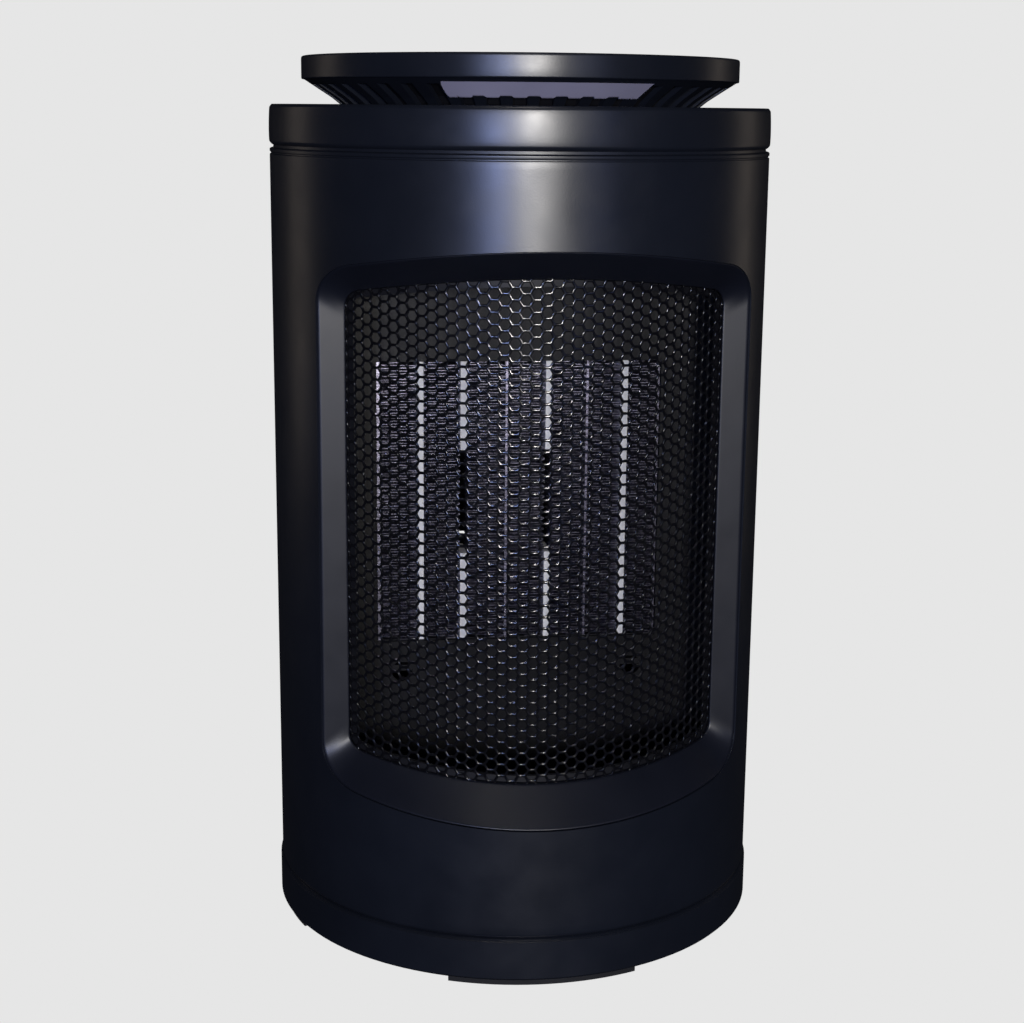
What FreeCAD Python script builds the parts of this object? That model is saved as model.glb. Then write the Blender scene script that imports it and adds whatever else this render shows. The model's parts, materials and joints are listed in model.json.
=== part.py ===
import FreeCAD, Part
import math
import os
import re
import Sketcher
from FreeCAD import Placement, Rotation, Vector

# A cylindrical ceramic space heater in millimetres: +Z up, front towards -Y, origin on the
# floor at the centre of the base. The sheet holds the driving sizes; each formula below is a
# text of sheet names, which bound() turns into an expression and value() into a number.

SIZES = {
    # casing
    "foot_height": 2.0, "foot_inset": 1.0, "foot_width": 13.0, "foot_span": 44.0,
    "foot_sink": 1.0, "body_radius": 80.0, "wall": 2.5, "fit_gap": 0.3, "seam_bevel": 0.8,
    "base_flare": 0.6, "base_shoulder": 1.0,
    "base_ring_height": 13.8, "floor_thickness": 3.0, "spigot_height": 6.0,
    "shell_height": 238.1, "groove_depth": 1.2, "groove_height": 0.8, "bead_height": 1.3,
    "collar_height": 12.5, "collar_bulge": 0.2, "deck_drop": 5.9, "deck_thickness": 2.5,
    "cone_height": 7.7, "cone_inset": 0.8, "cone_mouth_radius": 57.5,
    "cone_neck_radius": 53.5, "cone_wall": 2.0, "cone_knee_rise": 2.0, "cone_knee_radius": 60.0,
    "cone_flange": 6.0, "filter_thickness": 1.2, "filter_foot": 51.2, "slot_width": 4.2,
    "slot_count": 48, "disc_radius": 69.7,
    "disc_height": 7.1, "disc_bevel": 0.6, "label_angle": 55.2, "label_thickness": 0.5,
    "label_low": 2.2, "label_high": 7.0,
    # front window, bezel and mesh
    "window_half_width": 67.0, "window_low": 50.9, "window_high": 226.0, "window_bow": 302.0,
    "window_corner": 12.0, "bezel_side": 8.8, "bezel_top": 8.8, "bezel_bottom": 10.6,
    "bezel_corner": 5.0, "bezel_fit": 0.2, "bezel_flange": 3.0, "bezel_lip": 2.0,
    "mesh_radius": 82.0, "mesh_axis": 15.0, "mesh_thickness": 0.8, "mesh_pitch": 7.2,
    "mesh_bar": 3.3, "retainer_width": 2.0, "retainer_depth": 1.6,
    # heating element and its plate
    "plate_front": -6.0, "plate_thickness": 1.5, "plate_low": 40.0, "plate_high": 240.0,
    "rail_rib": 2.0, "rail_reach": 5.0, "lead_hole_radius": 3.5, "lead_hole_x": 39.0,
    "lead_hole_drop": 10.7, "element_size": 94.0, "element_z": 137.7, "element_front": -5.0,
    "element_depth": 14.0, "side_rail": 1.0, "bar_width": 2.2, "strip_width": 0.8,
    "bar_one": -32.7, "bar_two": -18.3, "strip_one": -4.1, "bar_three": 10.0,
    "strip_two": 22.8, "bar_four": 35.3, "bar_split": 35.0, "fin_pitch": 1.84,
    "fin_sheet": 0.25, "cap_height": 8.0, "terminal_length": 6.0,
    "cutout_radius": 8.0, "cutout_rise": 12.3, "cutout_x": 25.0, "cutout_depth": 9.0,
    "fuse_depth": 14.0, "blade_thick": 0.8, "blade_tall": 6.3,
    # fan and motor, along +Y
    "shroud_margin": 11.0, "shroud_wall": 2.0, "shroud_face": 16.0, "shroud_back": 38.0,
    "fan_radius": 54.0, "fan_tip_gap": 1.5, "fan_front": 20.0, "hub_radius": 14.0,
    "hub_length": 14.0, "blade_count": 7, "blade_thickness": 1.6, "shaft_radius": 1.6,
    "shaft_front": 16.5, "shaft_length": 54.0, "running_gap": 0.03, "nut_height": 3.0,
    "bracket_thickness": 2.0, "bracket_hub": 23.0, "arm_width": 8.0, "motor_radius": 22.0,
    "motor_wall": 1.5, "motor_length": 26.0, "bush_radius": 4.0, "boss_radius": 6.0,
    "cap_thickness": 2.5, "rotor_radius": 12.0, "rotor_gap": 0.5, "rotor_length": 16.0,
    "stator_length": 18.0,
    # rear grille and cord gland
    "intake_half_width": 42.0, "intake_height": 120.0, "intake_flange": 3.0,
    "intake_slot": 3.0, "intake_pitch": 6.0, "gland_z": 30.0, "gland_bore": 3.5,
    "gland_barrel": 6.0, "gland_flange": 9.0, "gland_flange_height": 1.9,
    "gland_stand_off": 0.5, "gland_length": 12.0, "gland_nut_height": 4.0,
    # base fittings
    "post_inset": 8.0, "post_radius": 4.8, "web_offset": 3.5, "web_size": 5.0,
    "screw_radius": 1.5, "head_radius": 3.0,
    "head_height": 2.0, "head_room": 0.3, "screw_floor": 4.8, "screw_grip": 9.2,
    "post_depth": 12.0,
    "plunger_x": 25.0, "plunger_y": 40.0, "plunger_radius": 3.0, "plunger_travel": 4.0,
    "guide_height": 3.0, "guide_wall": 2.7, "plunger_flange": 1.2, "pin_radius": 1.5,
    "bridge_rise": 17.0, "bridge_thickness": 1.5, "bridge_length": 24.0, "bridge_width": 16.0,
    "switch_height": 12.0, "switch_length": 20.0, "switch_width": 10.0, "tip_coil_radius": 3.4,
    "pin_short": 0.2, "relay_x": -14.0, "relay_length": 19.0, "relay_width": 15.5,
    "relay_height": 15.0, "relay_shift": 4.0, "capacitor_x": 12.0, "capacitor_length": 18.0,
    "capacitor_width": 8.0, "capacitor_height": 14.0, "capacitor_shift": 6.0,
    "terminal_x": -24.0, "terminal_y": 40.0, "terminal_long": 30.0, "terminal_wide": 14.0,
    "terminal_high": 15.0, "terminal_step": 9.0, "well_radius": 2.6, "well_depth": 7.0,
    "board_thickness": 1.6, "power_board_length": 56.0, "power_board_width": 40.0,
    "power_board_y": -20.0, "board_post_height": 8.0, "board_post_radius": 3.0,
    # controls in the top disc
    "panel_radius": 36.0, "panel_thickness": 0.8, "button_radius": 6.0, "button_gap": 0.25,
    "button_spacing": 20.0, "button_y": -6.0, "button_flange": 1.0, "flange_height": 1.2,
    "button_travel": 1.2, "stem_radius": 2.0, "lens_y": 7.0, "lens_radius": 1.2,
    "control_board_length": 60.0, "control_board_width": 40.0, "control_board_drop": 6.1,
    "spring_wire": 0.7, "coil_slack": 0.1, "switch_size": 6.0, "tact_height": 1.3,
}

# Levels and radii that follow from the sheet.
BASE_TOP = "(foot_height + base_ring_height)"
FLOOR_TOP = "(foot_height + floor_thickness)"
SPIGOT_TOP = f"({BASE_TOP} + spigot_height)"
SHELL_TOP = f"({BASE_TOP} + shell_height)"
COLLAR_TOP = f"({SHELL_TOP} + collar_height)"
DECK_TOP = f"({COLLAR_TOP} - deck_drop)"
CONE_TOP = f"({COLLAR_TOP} + cone_height)"
DISC_TOP = f"({CONE_TOP} + disc_height)"
DISC_UNDER = f"({DISC_TOP} - wall)"
INNER_RADIUS = "(body_radius - wall)"
SPIGOT_RADIUS = "(body_radius - wall - fit_gap)"
BASE_RADIUS = "(body_radius + base_flare)"
FOOT_OUTER = "(body_radius - foot_inset)"
FOOT_INNER = f"({FOOT_OUTER} - foot_width)"
POST_RING = "(body_radius - post_inset)"
CONE_RADIUS = "(disc_radius - cone_inset)"
SHROUD_HALF = "(element_size / 2 + shroud_margin)"
GLAND_FACE = "(body_radius + gland_stand_off)"
PLATE_BACK = "(plate_front + plate_thickness)"
ELEMENT_LOW = "(element_z - element_size / 2)"
ELEMENT_HIGH = "(element_z + element_size / 2)"
ELEMENT_BACK = "(element_front + element_depth)"
BRACKET_BACK = "(shroud_back + bracket_thickness)"
MOTOR_BACK = f"({BRACKET_BACK} + motor_length)"
HEAD_SEAT = f"({SPIGOT_TOP} - screw_floor)"
GUIDE_TOP = f"({FLOOR_TOP} + guide_height)"
FLANGE_LOW = f"({GUIDE_TOP} + plunger_travel + fit_gap)"
BRIDGE_LOW = f"({FLOOR_TOP} + bridge_rise)"
BRIDGE_TOP = f"({BRIDGE_LOW} + bridge_thickness)"
BOARD_LOW = f"({FLOOR_TOP} + board_post_height)"
BOARD_TOP = f"({BOARD_LOW} + board_thickness)"
CONTROL_TOP = f"({DISC_UNDER} - control_board_drop)"
CONTROL_LOW = f"({CONTROL_TOP} - board_thickness)"
FLANGE_TOP = f"({DISC_UNDER} - fit_gap)"
BUTTON_FLANGE_LOW = f"({FLANGE_TOP} - flange_height)"

FORWARD_IS_Z = Rotation(Vector(1, 0, 0), -90)
WORD = re.compile(r"[a-z][a-z_0-9]*")

doc = FreeCAD.newDocument("space_heater")
sheet = doc.addObject("Spreadsheet::Sheet", "sizes")
kept = []


def fill_sheet():
    """One row for each driving size: its name beside its plain number."""
    for row, (name, number) in enumerate(SIZES.items(), start=1):
        sheet.set(f"A{row}", name)
        sheet.set(f"B{row}", str(number))
        sheet.setAlias(f"B{row}", name)
    doc.recompute()


def bound(formula):
    """The formula with sizes. in front of each sheet name."""
    return WORD.sub(lambda w: "sizes." + w.group() if w.group() in SIZES else w.group(), str(formula))


def value(formula):
    """The number that the formula gives now."""
    return float(sheet.evalExpression(bound(formula)))


def place(item, at, turn=None):
    """Set the turn, and bind the three coordinates of the place."""
    if turn is not None:
        item.Placement = Placement(Vector(), turn)
    for axis, formula in zip("xyz", at):
        item.setExpression("Placement.Base." + axis, bound(formula))
    return item


def keep(item, label):
    """Name the file of a finished sub-part."""
    item.Label = label
    kept.append(item)
    return item


def box(name, middle, size):
    """A box by its middle and its three sizes."""
    item = doc.addObject("Part::Box", name)
    for side, formula in zip(("Length", "Width", "Height"), size):
        item.setExpression(side, bound(formula))
    return place(item, [f"({m}) - ({s}) / 2" for m, s in zip(middle, size)])


def slab(name, middle, size, low):
    """A box by its middle in plan, its sizes, and the height of its underside."""
    return box(name, (middle[0], middle[1], f"({low}) + ({size[2]}) / 2"), size)


def rod(name, radius, length, at, turn=None):
    """A cylinder that starts at a point and runs up, or along the turned axis."""
    item = doc.addObject("Part::Cylinder", name)
    item.setExpression("Radius", bound(radius))
    item.setExpression("Height", bound(length))
    return place(item, at, turn)


def fuse(name, *parts):
    item = doc.addObject("Part::MultiFuse", name)
    item.Shapes = list(parts)
    item.Refine = True
    return item


def group(name, *parts):
    """Separate solids that share one node."""
    item = doc.addObject("Part::Compound", name)
    item.Links = list(parts)
    return item


def cut(name, base, *tools):
    item = doc.addObject("Part::Cut", name)
    item.Base = base
    item.Tool = tools[0] if len(tools) == 1 else fuse(name + "_tools", *tools)
    return item


def tube(name, outer, inner, length, at, turn=None):
    """A cylinder with a bore right through."""
    return cut(name, rod(name + "_outer", outer, length, at, turn),
               rod(name + "_bore", inner, length, at, turn))


def formed(name, shape, at=Vector()):
    """A shape from Part's own functions as a document object."""
    item = doc.addObject("Part::Feature", name)
    item.Shape = shape
    item.Placement = Placement(at, Rotation())
    return item


def sketch_outline(body, role, name, outline):
    """A closed sketch of straight lines, each point bound to its two formulas."""
    plane = [part for part in body.Origin.OriginFeatures if part.Role == role][0]
    sketch = body.newObject("Sketcher::SketchObject", name)
    sketch.AttachmentSupport = [(plane, "")]
    sketch.MapMode = "FlatFace"
    spots = [Vector(value(x), value(y), 0) for x, y in outline]
    for start, end in zip(spots, spots[1:] + spots[:1]):
        sketch.addGeometry(Part.LineSegment(start, end))
    for number in range(len(spots)):
        following = (number + 1) % len(spots)
        sketch.addConstraint(Sketcher.Constraint("Coincident", number, 2, following, 1))
    for number, (spot, formulas) in enumerate(zip(spots, outline)):
        for kind, start, formula in zip(("DistanceX", "DistanceY"), spot, formulas):
            if formula == 0:
                axis = -2 if kind == "DistanceX" else -1
                sketch.addConstraint(Sketcher.Constraint("PointOnObject", number, 1, axis))
                continue
            bind = sketch.addConstraint(Sketcher.Constraint(kind, -1, 1, number, 1, start))
            sketch.setExpression(f"Constraints[{bind}]", bound(formula))
    return sketch


def turned(name, outline, at=(0, 0, 0), turn=None):
    """A body of revolution from an outline of (radius, height) formulas."""
    body = doc.addObject("PartDesign::Body", name)
    sketch = sketch_outline(body, "XZ_Plane", name + "_outline", outline)
    revolution = body.newObject("PartDesign::Revolution", name + "_turn")
    revolution.Profile = sketch
    revolution.ReferenceAxis = (sketch, ["V_Axis"])
    revolution.Angle = 360
    body.Tip = revolution
    return place(body, at, turn)


def round_places(ring, count, first=0):
    """Formulas of count places round the Z axis at radius ring, counted from first degrees."""
    angles = [first + 360 / count * number for number in range(count)]
    return [(f"({ring}) * cos({a} deg)", f"({ring}) * sin({a} deg)") for a in angles]


def window_runs(half_width, low, high, bow, corner):
    """The window's outline in plan x, z: two sides, four corners, and a bowed top and foot."""
    reach = half_width - corner
    lean = math.acos(reach / (bow - corner))
    rise = (bow - corner) * math.sin(lean)
    top, foot = high - bow + rise, low + bow - rise

    def arc(x, z, radius, start, end, steps):
        angles = [start + (end - start) * step / steps for step in range(steps + 1)]
        return [(x + radius * math.cos(a), z + radius * math.sin(a)) for a in angles]

    turn = math.pi
    return [
        [(half_width, foot), (half_width, top)],
        arc(reach, top, corner, 0, lean, 8),
        arc(0, high - bow, bow, lean, turn - lean, 24),
        arc(-reach, top, corner, turn - lean, turn, 8),
        [(-half_width, top), (-half_width, foot)],
        arc(-reach, foot, corner, turn, turn + lean, 8),
        arc(0, low + bow, bow, turn + lean, 2 * turn - lean, 24),
        arc(reach, foot, corner, 2 * turn - lean, 2 * turn, 8),
    ]


def outer_runs(grow):
    """The window's edge on the casing, moved outwards by grow."""
    return window_runs(value("window_half_width") + grow, value("window_low") - grow,
                       value("window_high") + grow, value("window_bow") + grow,
                       value("window_corner") + grow)


def inner_runs(grow):
    """The bezel's inner edge, round the mesh, moved outwards by grow."""
    return window_runs(value("window_half_width - bezel_side") + grow,
                       value("window_low + bezel_bottom") - grow,
                       value("window_high - bezel_top") + grow,
                       value("window_bow - bezel_top") + grow, value("bezel_corner") + grow)


def window_prism(runs, front, back):
    """The outline pushed along Y from front to back."""
    edges = []
    for run in runs:
        ends = [Vector(x, front, z) for x, z in (run[0], run[len(run) // 2], run[-1])]
        if len(run) == 2:
            edges.append(Part.LineSegment(ends[0], ends[2]).toShape())
        else:
            edges.append(Part.Arc(*ends).toShape())
    return Part.Face(Part.Wire(edges)).extrude(Vector(0, back - front, 0))


def casing_y(x, radius):
    """Front of an upright cylinder about the heater's axis."""
    return -math.sqrt(radius ** 2 - x ** 2)


def mesh_y(x, behind=0.0):
    """Front of the mesh, or of a surface that far behind it."""
    return value("mesh_axis") - math.sqrt(value("mesh_radius") ** 2 - x ** 2) + behind


def run_edge(run, depth):
    """One run of the outline, laid on the surface y = depth(x)."""
    points = [Vector(x, depth(x), z) for x, z in run]
    if len(points) == 2:
        return Part.LineSegment(*points).toShape()
    curve = Part.BSplineCurve()
    curve.interpolate(points)
    return curve.toShape()


def ruled_ring(sections):
    """A solid ring round the window, with straight walls between neighbouring sections."""
    faces = []
    for (runs_a, depth_a), (runs_b, depth_b) in zip(sections, sections[1:] + sections[:1]):
        for run_a, run_b in zip(runs_a, runs_b):
            faces.append(Part.makeRuledSurface(run_edge(run_a, depth_a), run_edge(run_b, depth_b)))
    skin = Part.makeCompound(faces)
    skin.sewShape()
    solid = Part.Solid(skin.Shells[0])
    if solid.Volume < 0:
        solid.reverse()
    return solid


def sector_block(radius, axis_y, half_width, low, high, side):
    """A cylinder about an upright axis, kept within a half width on one side of the axis."""
    round_block = Part.makeCylinder(radius, high - low, Vector(0, axis_y, low))
    corner = Vector(-half_width, axis_y if side > 0 else axis_y - radius - 1, low)
    return round_block.common(Part.makeBox(2 * half_width, radius + 1, high - low, corner))


def coil_sleeve(name, radius, length, at):
    """The room a coil spring takes: a sleeve as thick as its wire."""
    return tube(name, f"{radius} + spring_wire / 2", f"{radius} - spring_wire / 2", length, at)


def make_base_cover():
    bevel = "(body_radius - seam_bevel)"
    body = turned("base_blank", [
        (0, "foot_height"), (f"{BASE_RADIUS} - seam_bevel", "foot_height"),
        (BASE_RADIUS, "foot_height + seam_bevel"), (BASE_RADIUS, f"{BASE_TOP} - base_shoulder"),
        (bevel, BASE_TOP), (SPIGOT_RADIUS, BASE_TOP),
        (SPIGOT_RADIUS, SPIGOT_TOP), (f"{SPIGOT_RADIUS} - wall", SPIGOT_TOP),
        (f"{SPIGOT_RADIUS} - wall", f"{BASE_TOP} - wall"),
        (INNER_RADIUS, f"{BASE_TOP} - 2 * wall"), (INNER_RADIUS, FLOOR_TOP), (0, FLOOR_TOP)])
    added, holes = [], []
    for number, (x, y) in enumerate(round_places(POST_RING, 4, 45)):
        added.append(rod(f"base_post_{number}", "post_radius", f"{SPIGOT_TOP} - foot_height",
                         (x, y, "foot_height")))
        holes.append(rod(f"base_screw_hole_{number}", "screw_radius + head_room",
                         SPIGOT_TOP, (x, y, 0)))
        holes.append(rod(f"base_head_hole_{number}", "head_radius + head_room", HEAD_SEAT,
                         (x, y, 0)))
    holes += [foot_pad("foot_seat", number) for number in range(4)]
    added.append(rod("plunger_guide", "plunger_radius + guide_wall", "guide_height",
                     ("plunger_x", "plunger_y", FLOOR_TOP)))
    holes.append(rod("plunger_hole", "plunger_radius + fit_gap", GUIDE_TOP,
                     ("plunger_x", "plunger_y", 0)))
    for number, (x, y) in enumerate(power_board_posts()):
        added.append(rod(f"board_post_{number}", "board_post_radius", "board_post_height",
                         (x, y, FLOOR_TOP)))
    keep(cut("base_cut", fuse("base_whole", body, *added), *holes), "base_cover")


def power_board_posts():
    """Plan places of the four posts under the power board."""
    inset = "(board_post_radius + 1)"
    return [(f"{sx} * (power_board_length / 2 - {inset})",
             f"power_board_y + {sy} * (power_board_width / 2 - {inset})")
            for sx in (-1, 1) for sy in (-1, 1)]


def foot_pad(word, number):
    """An arc of rubber near the edge of the base, centred on one quarter."""
    turn = Rotation(Vector(0, 0, 1), 90 * number - value("foot_span") / 2)
    sectors = []
    for side, radius in (("outer", FOOT_OUTER), ("inner", FOOT_INNER)):
        sector = rod(f"{word}_{side}_{number}", radius, "foot_height + foot_sink", (0, 0, 0), turn)
        sector.setExpression("Angle", bound("foot_span"))
        sectors.append(sector)
    return cut(f"{word}_{number}", *sectors)


def make_feet_and_screws():
    keep(group("feet", *[foot_pad("foot", number) for number in range(4)]), "rubber_feet")
    screws = []
    for number, (x, y) in enumerate(round_places(POST_RING, 4, 45)):
        head = rod(f"base_screw_head_{number}", "head_radius", "head_height",
                   (x, y, f"{HEAD_SEAT} - head_height"))
        shank = rod(f"base_screw_shank_{number}", "screw_radius",
                    f"{SPIGOT_TOP} - {HEAD_SEAT} + screw_grip", (x, y, HEAD_SEAT))
        screws.append(fuse(f"base_screw_{number}", head, shank))
    keep(group("base_screw_group", *screws), "base_screws")


def make_tip_switch():
    here = ("plunger_x", "plunger_y")
    rod_part = rod("plunger_rod", "plunger_radius", FLANGE_LOW, (*here, 0))
    flange = rod("plunger_collar", "plunger_radius + 2", "plunger_flange", (*here, FLANGE_LOW))
    pin = rod("plunger_pin", "pin_radius", f"{BRIDGE_TOP} - {FLANGE_LOW} - pin_short",
              (*here, FLANGE_LOW))
    keep(fuse("plunger", rod_part, flange, pin), "tip_plunger")
    top = slab("bridge_top", here, ("bridge_length", "bridge_width", "bridge_thickness"),
               BRIDGE_LOW)
    leg_x = "(bridge_length - bridge_thickness) / 2"
    legs = [slab(f"bridge_leg_{side}", (f"plunger_x + {side} * {leg_x}", "plunger_y"),
                 ("bridge_thickness", "bridge_width", "bridge_rise"), FLOOR_TOP)
            for side in (-1, 1)]
    hole = rod("bridge_hole", "pin_radius + fit_gap", "3 * bridge_thickness",
               (*here, f"{BRIDGE_LOW} - bridge_thickness"))
    keep(cut("bridge", fuse("bridge_whole", top, *legs), hole), "tip_switch_bracket")
    keep(slab("switch_block", here, ("switch_length", "switch_width", "switch_height"),
              BRIDGE_TOP), "tip_switch")
    coil_low = f"({FLANGE_LOW} + plunger_flange + coil_slack)"
    keep(coil_sleeve("plunger_coil", "tip_coil_radius", f"{BRIDGE_LOW} - coil_slack - {coil_low}",
                     (*here, coil_low)), "tip_spring")


def make_power_board():
    keep(slab("power_board_sheet", (0, "power_board_y"),
              ("power_board_length", "power_board_width", "board_thickness"), BOARD_LOW),
         "power_board")
    keep(slab("relay_block", ("relay_x", "power_board_y + relay_shift"),
              ("relay_length", "relay_width", "relay_height"), BOARD_TOP), "relay")
    keep(slab("capacitor_block", ("capacitor_x", "power_board_y + capacitor_shift"),
              ("capacitor_length", "capacitor_width", "capacitor_height"), BOARD_TOP),
         "capacitor")
    blocks = slab("terminal_body", ("terminal_x", "terminal_y"),
                  ("terminal_long", "terminal_wide", "terminal_high"), FLOOR_TOP)
    wells = [rod(f"terminal_well_{side}", "well_radius", "well_depth + 1",
                 (f"terminal_x + {side} * terminal_step", "terminal_y",
                  f"{FLOOR_TOP} + terminal_high - well_depth")) for side in (-1, 0, 1)]
    keep(cut("terminal_cut", blocks, *wells), "terminal_block")


def make_main_shell():
    bevel = "(body_radius - seam_bevel)"
    groove = "(body_radius - groove_depth)"
    bead_top = f"({SHELL_TOP} - groove_height)"
    bead_low = f"({bead_top} - bead_height)"
    blank = turned("shell_blank", [
        (INNER_RADIUS, BASE_TOP), (bevel, BASE_TOP), ("body_radius", f"{BASE_TOP} + seam_bevel"),
        ("body_radius", f"{bead_low} - 0.6"), ("body_radius - 0.4", f"{bead_low} - 0.3"),
        ("body_radius - 0.1", f"{bead_low} + 0.1"), ("body_radius", f"{bead_low} + 0.4"),
        ("body_radius", f"{bead_top} - 0.4"), (groove, bead_top), (groove, SHELL_TOP),
        (INNER_RADIUS, SHELL_TOP)])
    added, holes = [], []
    for number, (x, y) in enumerate(round_places(POST_RING, 4, 45)):
        added.append(rod(f"shell_post_{number}", "post_radius", "post_depth",
                         (x, y, SPIGOT_TOP)))
        holes.append(rod(f"shell_screw_hole_{number}", "screw_radius", "screw_grip + 1",
                         (x, y, SPIGOT_TOP)))
    webs = round_places(f"({POST_RING} + web_offset)", 4, 45)
    added += [slab(f"shell_web_{number}", spot, ("web_size", "web_size", "post_depth"), SPIGOT_TOP)
              for number, spot in enumerate(webs)]
    rail_height = "(plate_high - plate_low)"
    for side in (-1, 1):
        x = f"{side} * ({INNER_RADIUS} - rail_reach / 2)"
        front = "plate_front - 0.1 - rail_rib / 2"
        back = f"{PLATE_BACK} + 0.1 + rail_rib / 2"
        for word, y in (("front", front), ("back", back)):
            added.append(slab(f"rail_{word}_{side}", (x, y), ("rail_reach + 1", "rail_rib",
                                                              rail_height), "plate_low"))
    holes.append(formed("window_cutter", window_prism(
        outer_runs(value("bezel_fit")), -value("body_radius") - 5, -value("wall") * 8)))
    holes.append(box("intake_cutter", (0, "body_radius", "element_z"),
                     ("2 * intake_half_width", "body_radius", "intake_height")))
    holes.append(rod("gland_hole", "gland_barrel + fit_gap", "4 * wall",
                     (0, "body_radius - 3 * wall", "gland_z"), FORWARD_IS_Z))
    holes.append(rod("gland_spot", "gland_flange + fit_gap", "2 * wall",
                     (0, f"{GLAND_FACE} - gland_flange_height", "gland_z"), FORWARD_IS_Z))
    keep(cut("shell_cut", fuse("shell_whole", blank, *added), *holes), "main_shell")


def make_bezel():
    radius, skin = value("body_radius"), value(f"{INNER_RADIUS} - bezel_fit")
    flange = value("bezel_flange")
    lip, proud = value("bezel_lip"), 0.6
    sections = [
        (outer_runs(0), lambda x: casing_y(x, radius)),
        (outer_runs(0), lambda x: casing_y(x, skin)),
        (outer_runs(flange), lambda x: casing_y(x, skin)),
        (outer_runs(flange), lambda x: casing_y(x, skin - 1.5)),
        (inner_runs(0), lambda x: mesh_y(x, lip)),
        (inner_runs(0), lambda x: mesh_y(x, -proud)),
    ]
    keep(formed("bezel_ring", ruled_ring(sections)), "front_bezel")


def mesh_sheet(front, back, grow, inner_grow=None):
    """The curved sheet between two depths behind the mesh's front, trimmed to the window."""
    axis, radius = value("mesh_axis"), value("mesh_radius")
    low, high = value("window_low"), value("window_high")
    half = value("window_half_width")
    block = sector_block(radius - front, axis, half, low, high, -1)
    block = block.cut(sector_block(radius - back, axis, half, low - 1, high + 1, -1))
    block = block.common(window_prism(inner_runs(grow), axis - radius - 5, -1))
    if inner_grow is not None:
        block = block.cut(window_prism(inner_runs(inner_grow), axis - radius - 5, -1))
    return block


def hexagon_cells():
    """Hexagonal cutters on a rolled sheet, in columns that step by half a cell."""
    axis, radius = value("mesh_axis"), value("mesh_radius")
    pitch, bar = value("mesh_pitch"), value("mesh_bar")
    column = pitch * math.sqrt(3) / 2
    size = (pitch - bar) / math.sqrt(3)
    margin = size + 1.5
    corners = [Vector(size * math.cos(math.radians(60 * k)), 0, size * math.sin(math.radians(60 * k)))
               for k in range(7)]
    prism = Part.Face(Part.makePolygon(corners)).extrude(Vector(0, 8, 0))
    prism.translate(Vector(0, -radius - 4, 0))
    bow = value("window_bow - bezel_top") - margin
    half = value("window_half_width - bezel_side") - margin
    high = value("window_high - bezel_top - window_bow + bezel_top")
    low = value("window_low + bezel_bottom + window_bow - bezel_top")
    columns = int(radius * math.asin(half / radius) / column)
    rows = int(value("window_high - window_low") / pitch)
    cells = []
    for across in range(-columns, columns + 1):
        angle = across * column / radius
        x = radius * math.sin(angle)
        lift = math.sqrt(bow ** 2 - x ** 2)
        for up in range(-rows, rows + 1):
            z = value("element_z") + (up + (across % 2) / 2) * pitch
            if low - lift < z < high + lift:
                cell = prism.copy()
                cell.rotate(Vector(), Vector(0, 0, 1), math.degrees(angle))
                cell.translate(Vector(0, axis, z))
                cells.append(cell)
    return cells


def make_mesh():
    thickness = value("mesh_thickness")
    mesh = mesh_sheet(0, thickness, -value("bezel_fit"))
    keep(formed("mesh_form", mesh.cut(Part.makeCompound(hexagon_cells()))), "front_mesh")
    frame = mesh_sheet(thickness, thickness + value("retainer_depth"), -value("fit_gap"),
                       -value("fit_gap + retainer_width"))
    keep(formed("retainer_form", frame), "mesh_retainer")


def make_duct_plate():
    depth = (PLATE_BACK + " - plate_front")
    middle_y = "(plate_front + plate_thickness / 2)"
    height = "(plate_high - plate_low)"
    width = f"2 * (sqrt({INNER_RADIUS} ^ 2 - plate_front ^ 2) - fit_gap)"
    plate = box("plate_sheet", (0, middle_y, "(plate_high + plate_low) / 2"), (width, depth, height))
    opening = box("plate_opening", (0, middle_y, "element_z"),
                  ("element_size + 2 * fit_gap", 5, "element_size + 2 * fit_gap"))
    leads = [rod(f"lead_hole_{side}", "lead_hole_radius", 6,
                 (f"{side} * lead_hole_x", "plate_front - 2", f"{ELEMENT_LOW} - lead_hole_drop"),
                 FORWARD_IS_Z)
             for side in (-1, 1)]
    keep(cut("plate_cut", plate, opening, *leads), "duct_plate")


def element_bar(name, x, width, low=ELEMENT_LOW, height="element_size"):
    """A bar or strip of the element, as deep as the whole stack."""
    middle_y = "(element_front + element_depth / 2)"
    return slab(name, (x, middle_y), (width, "element_depth", height), low)


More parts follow.
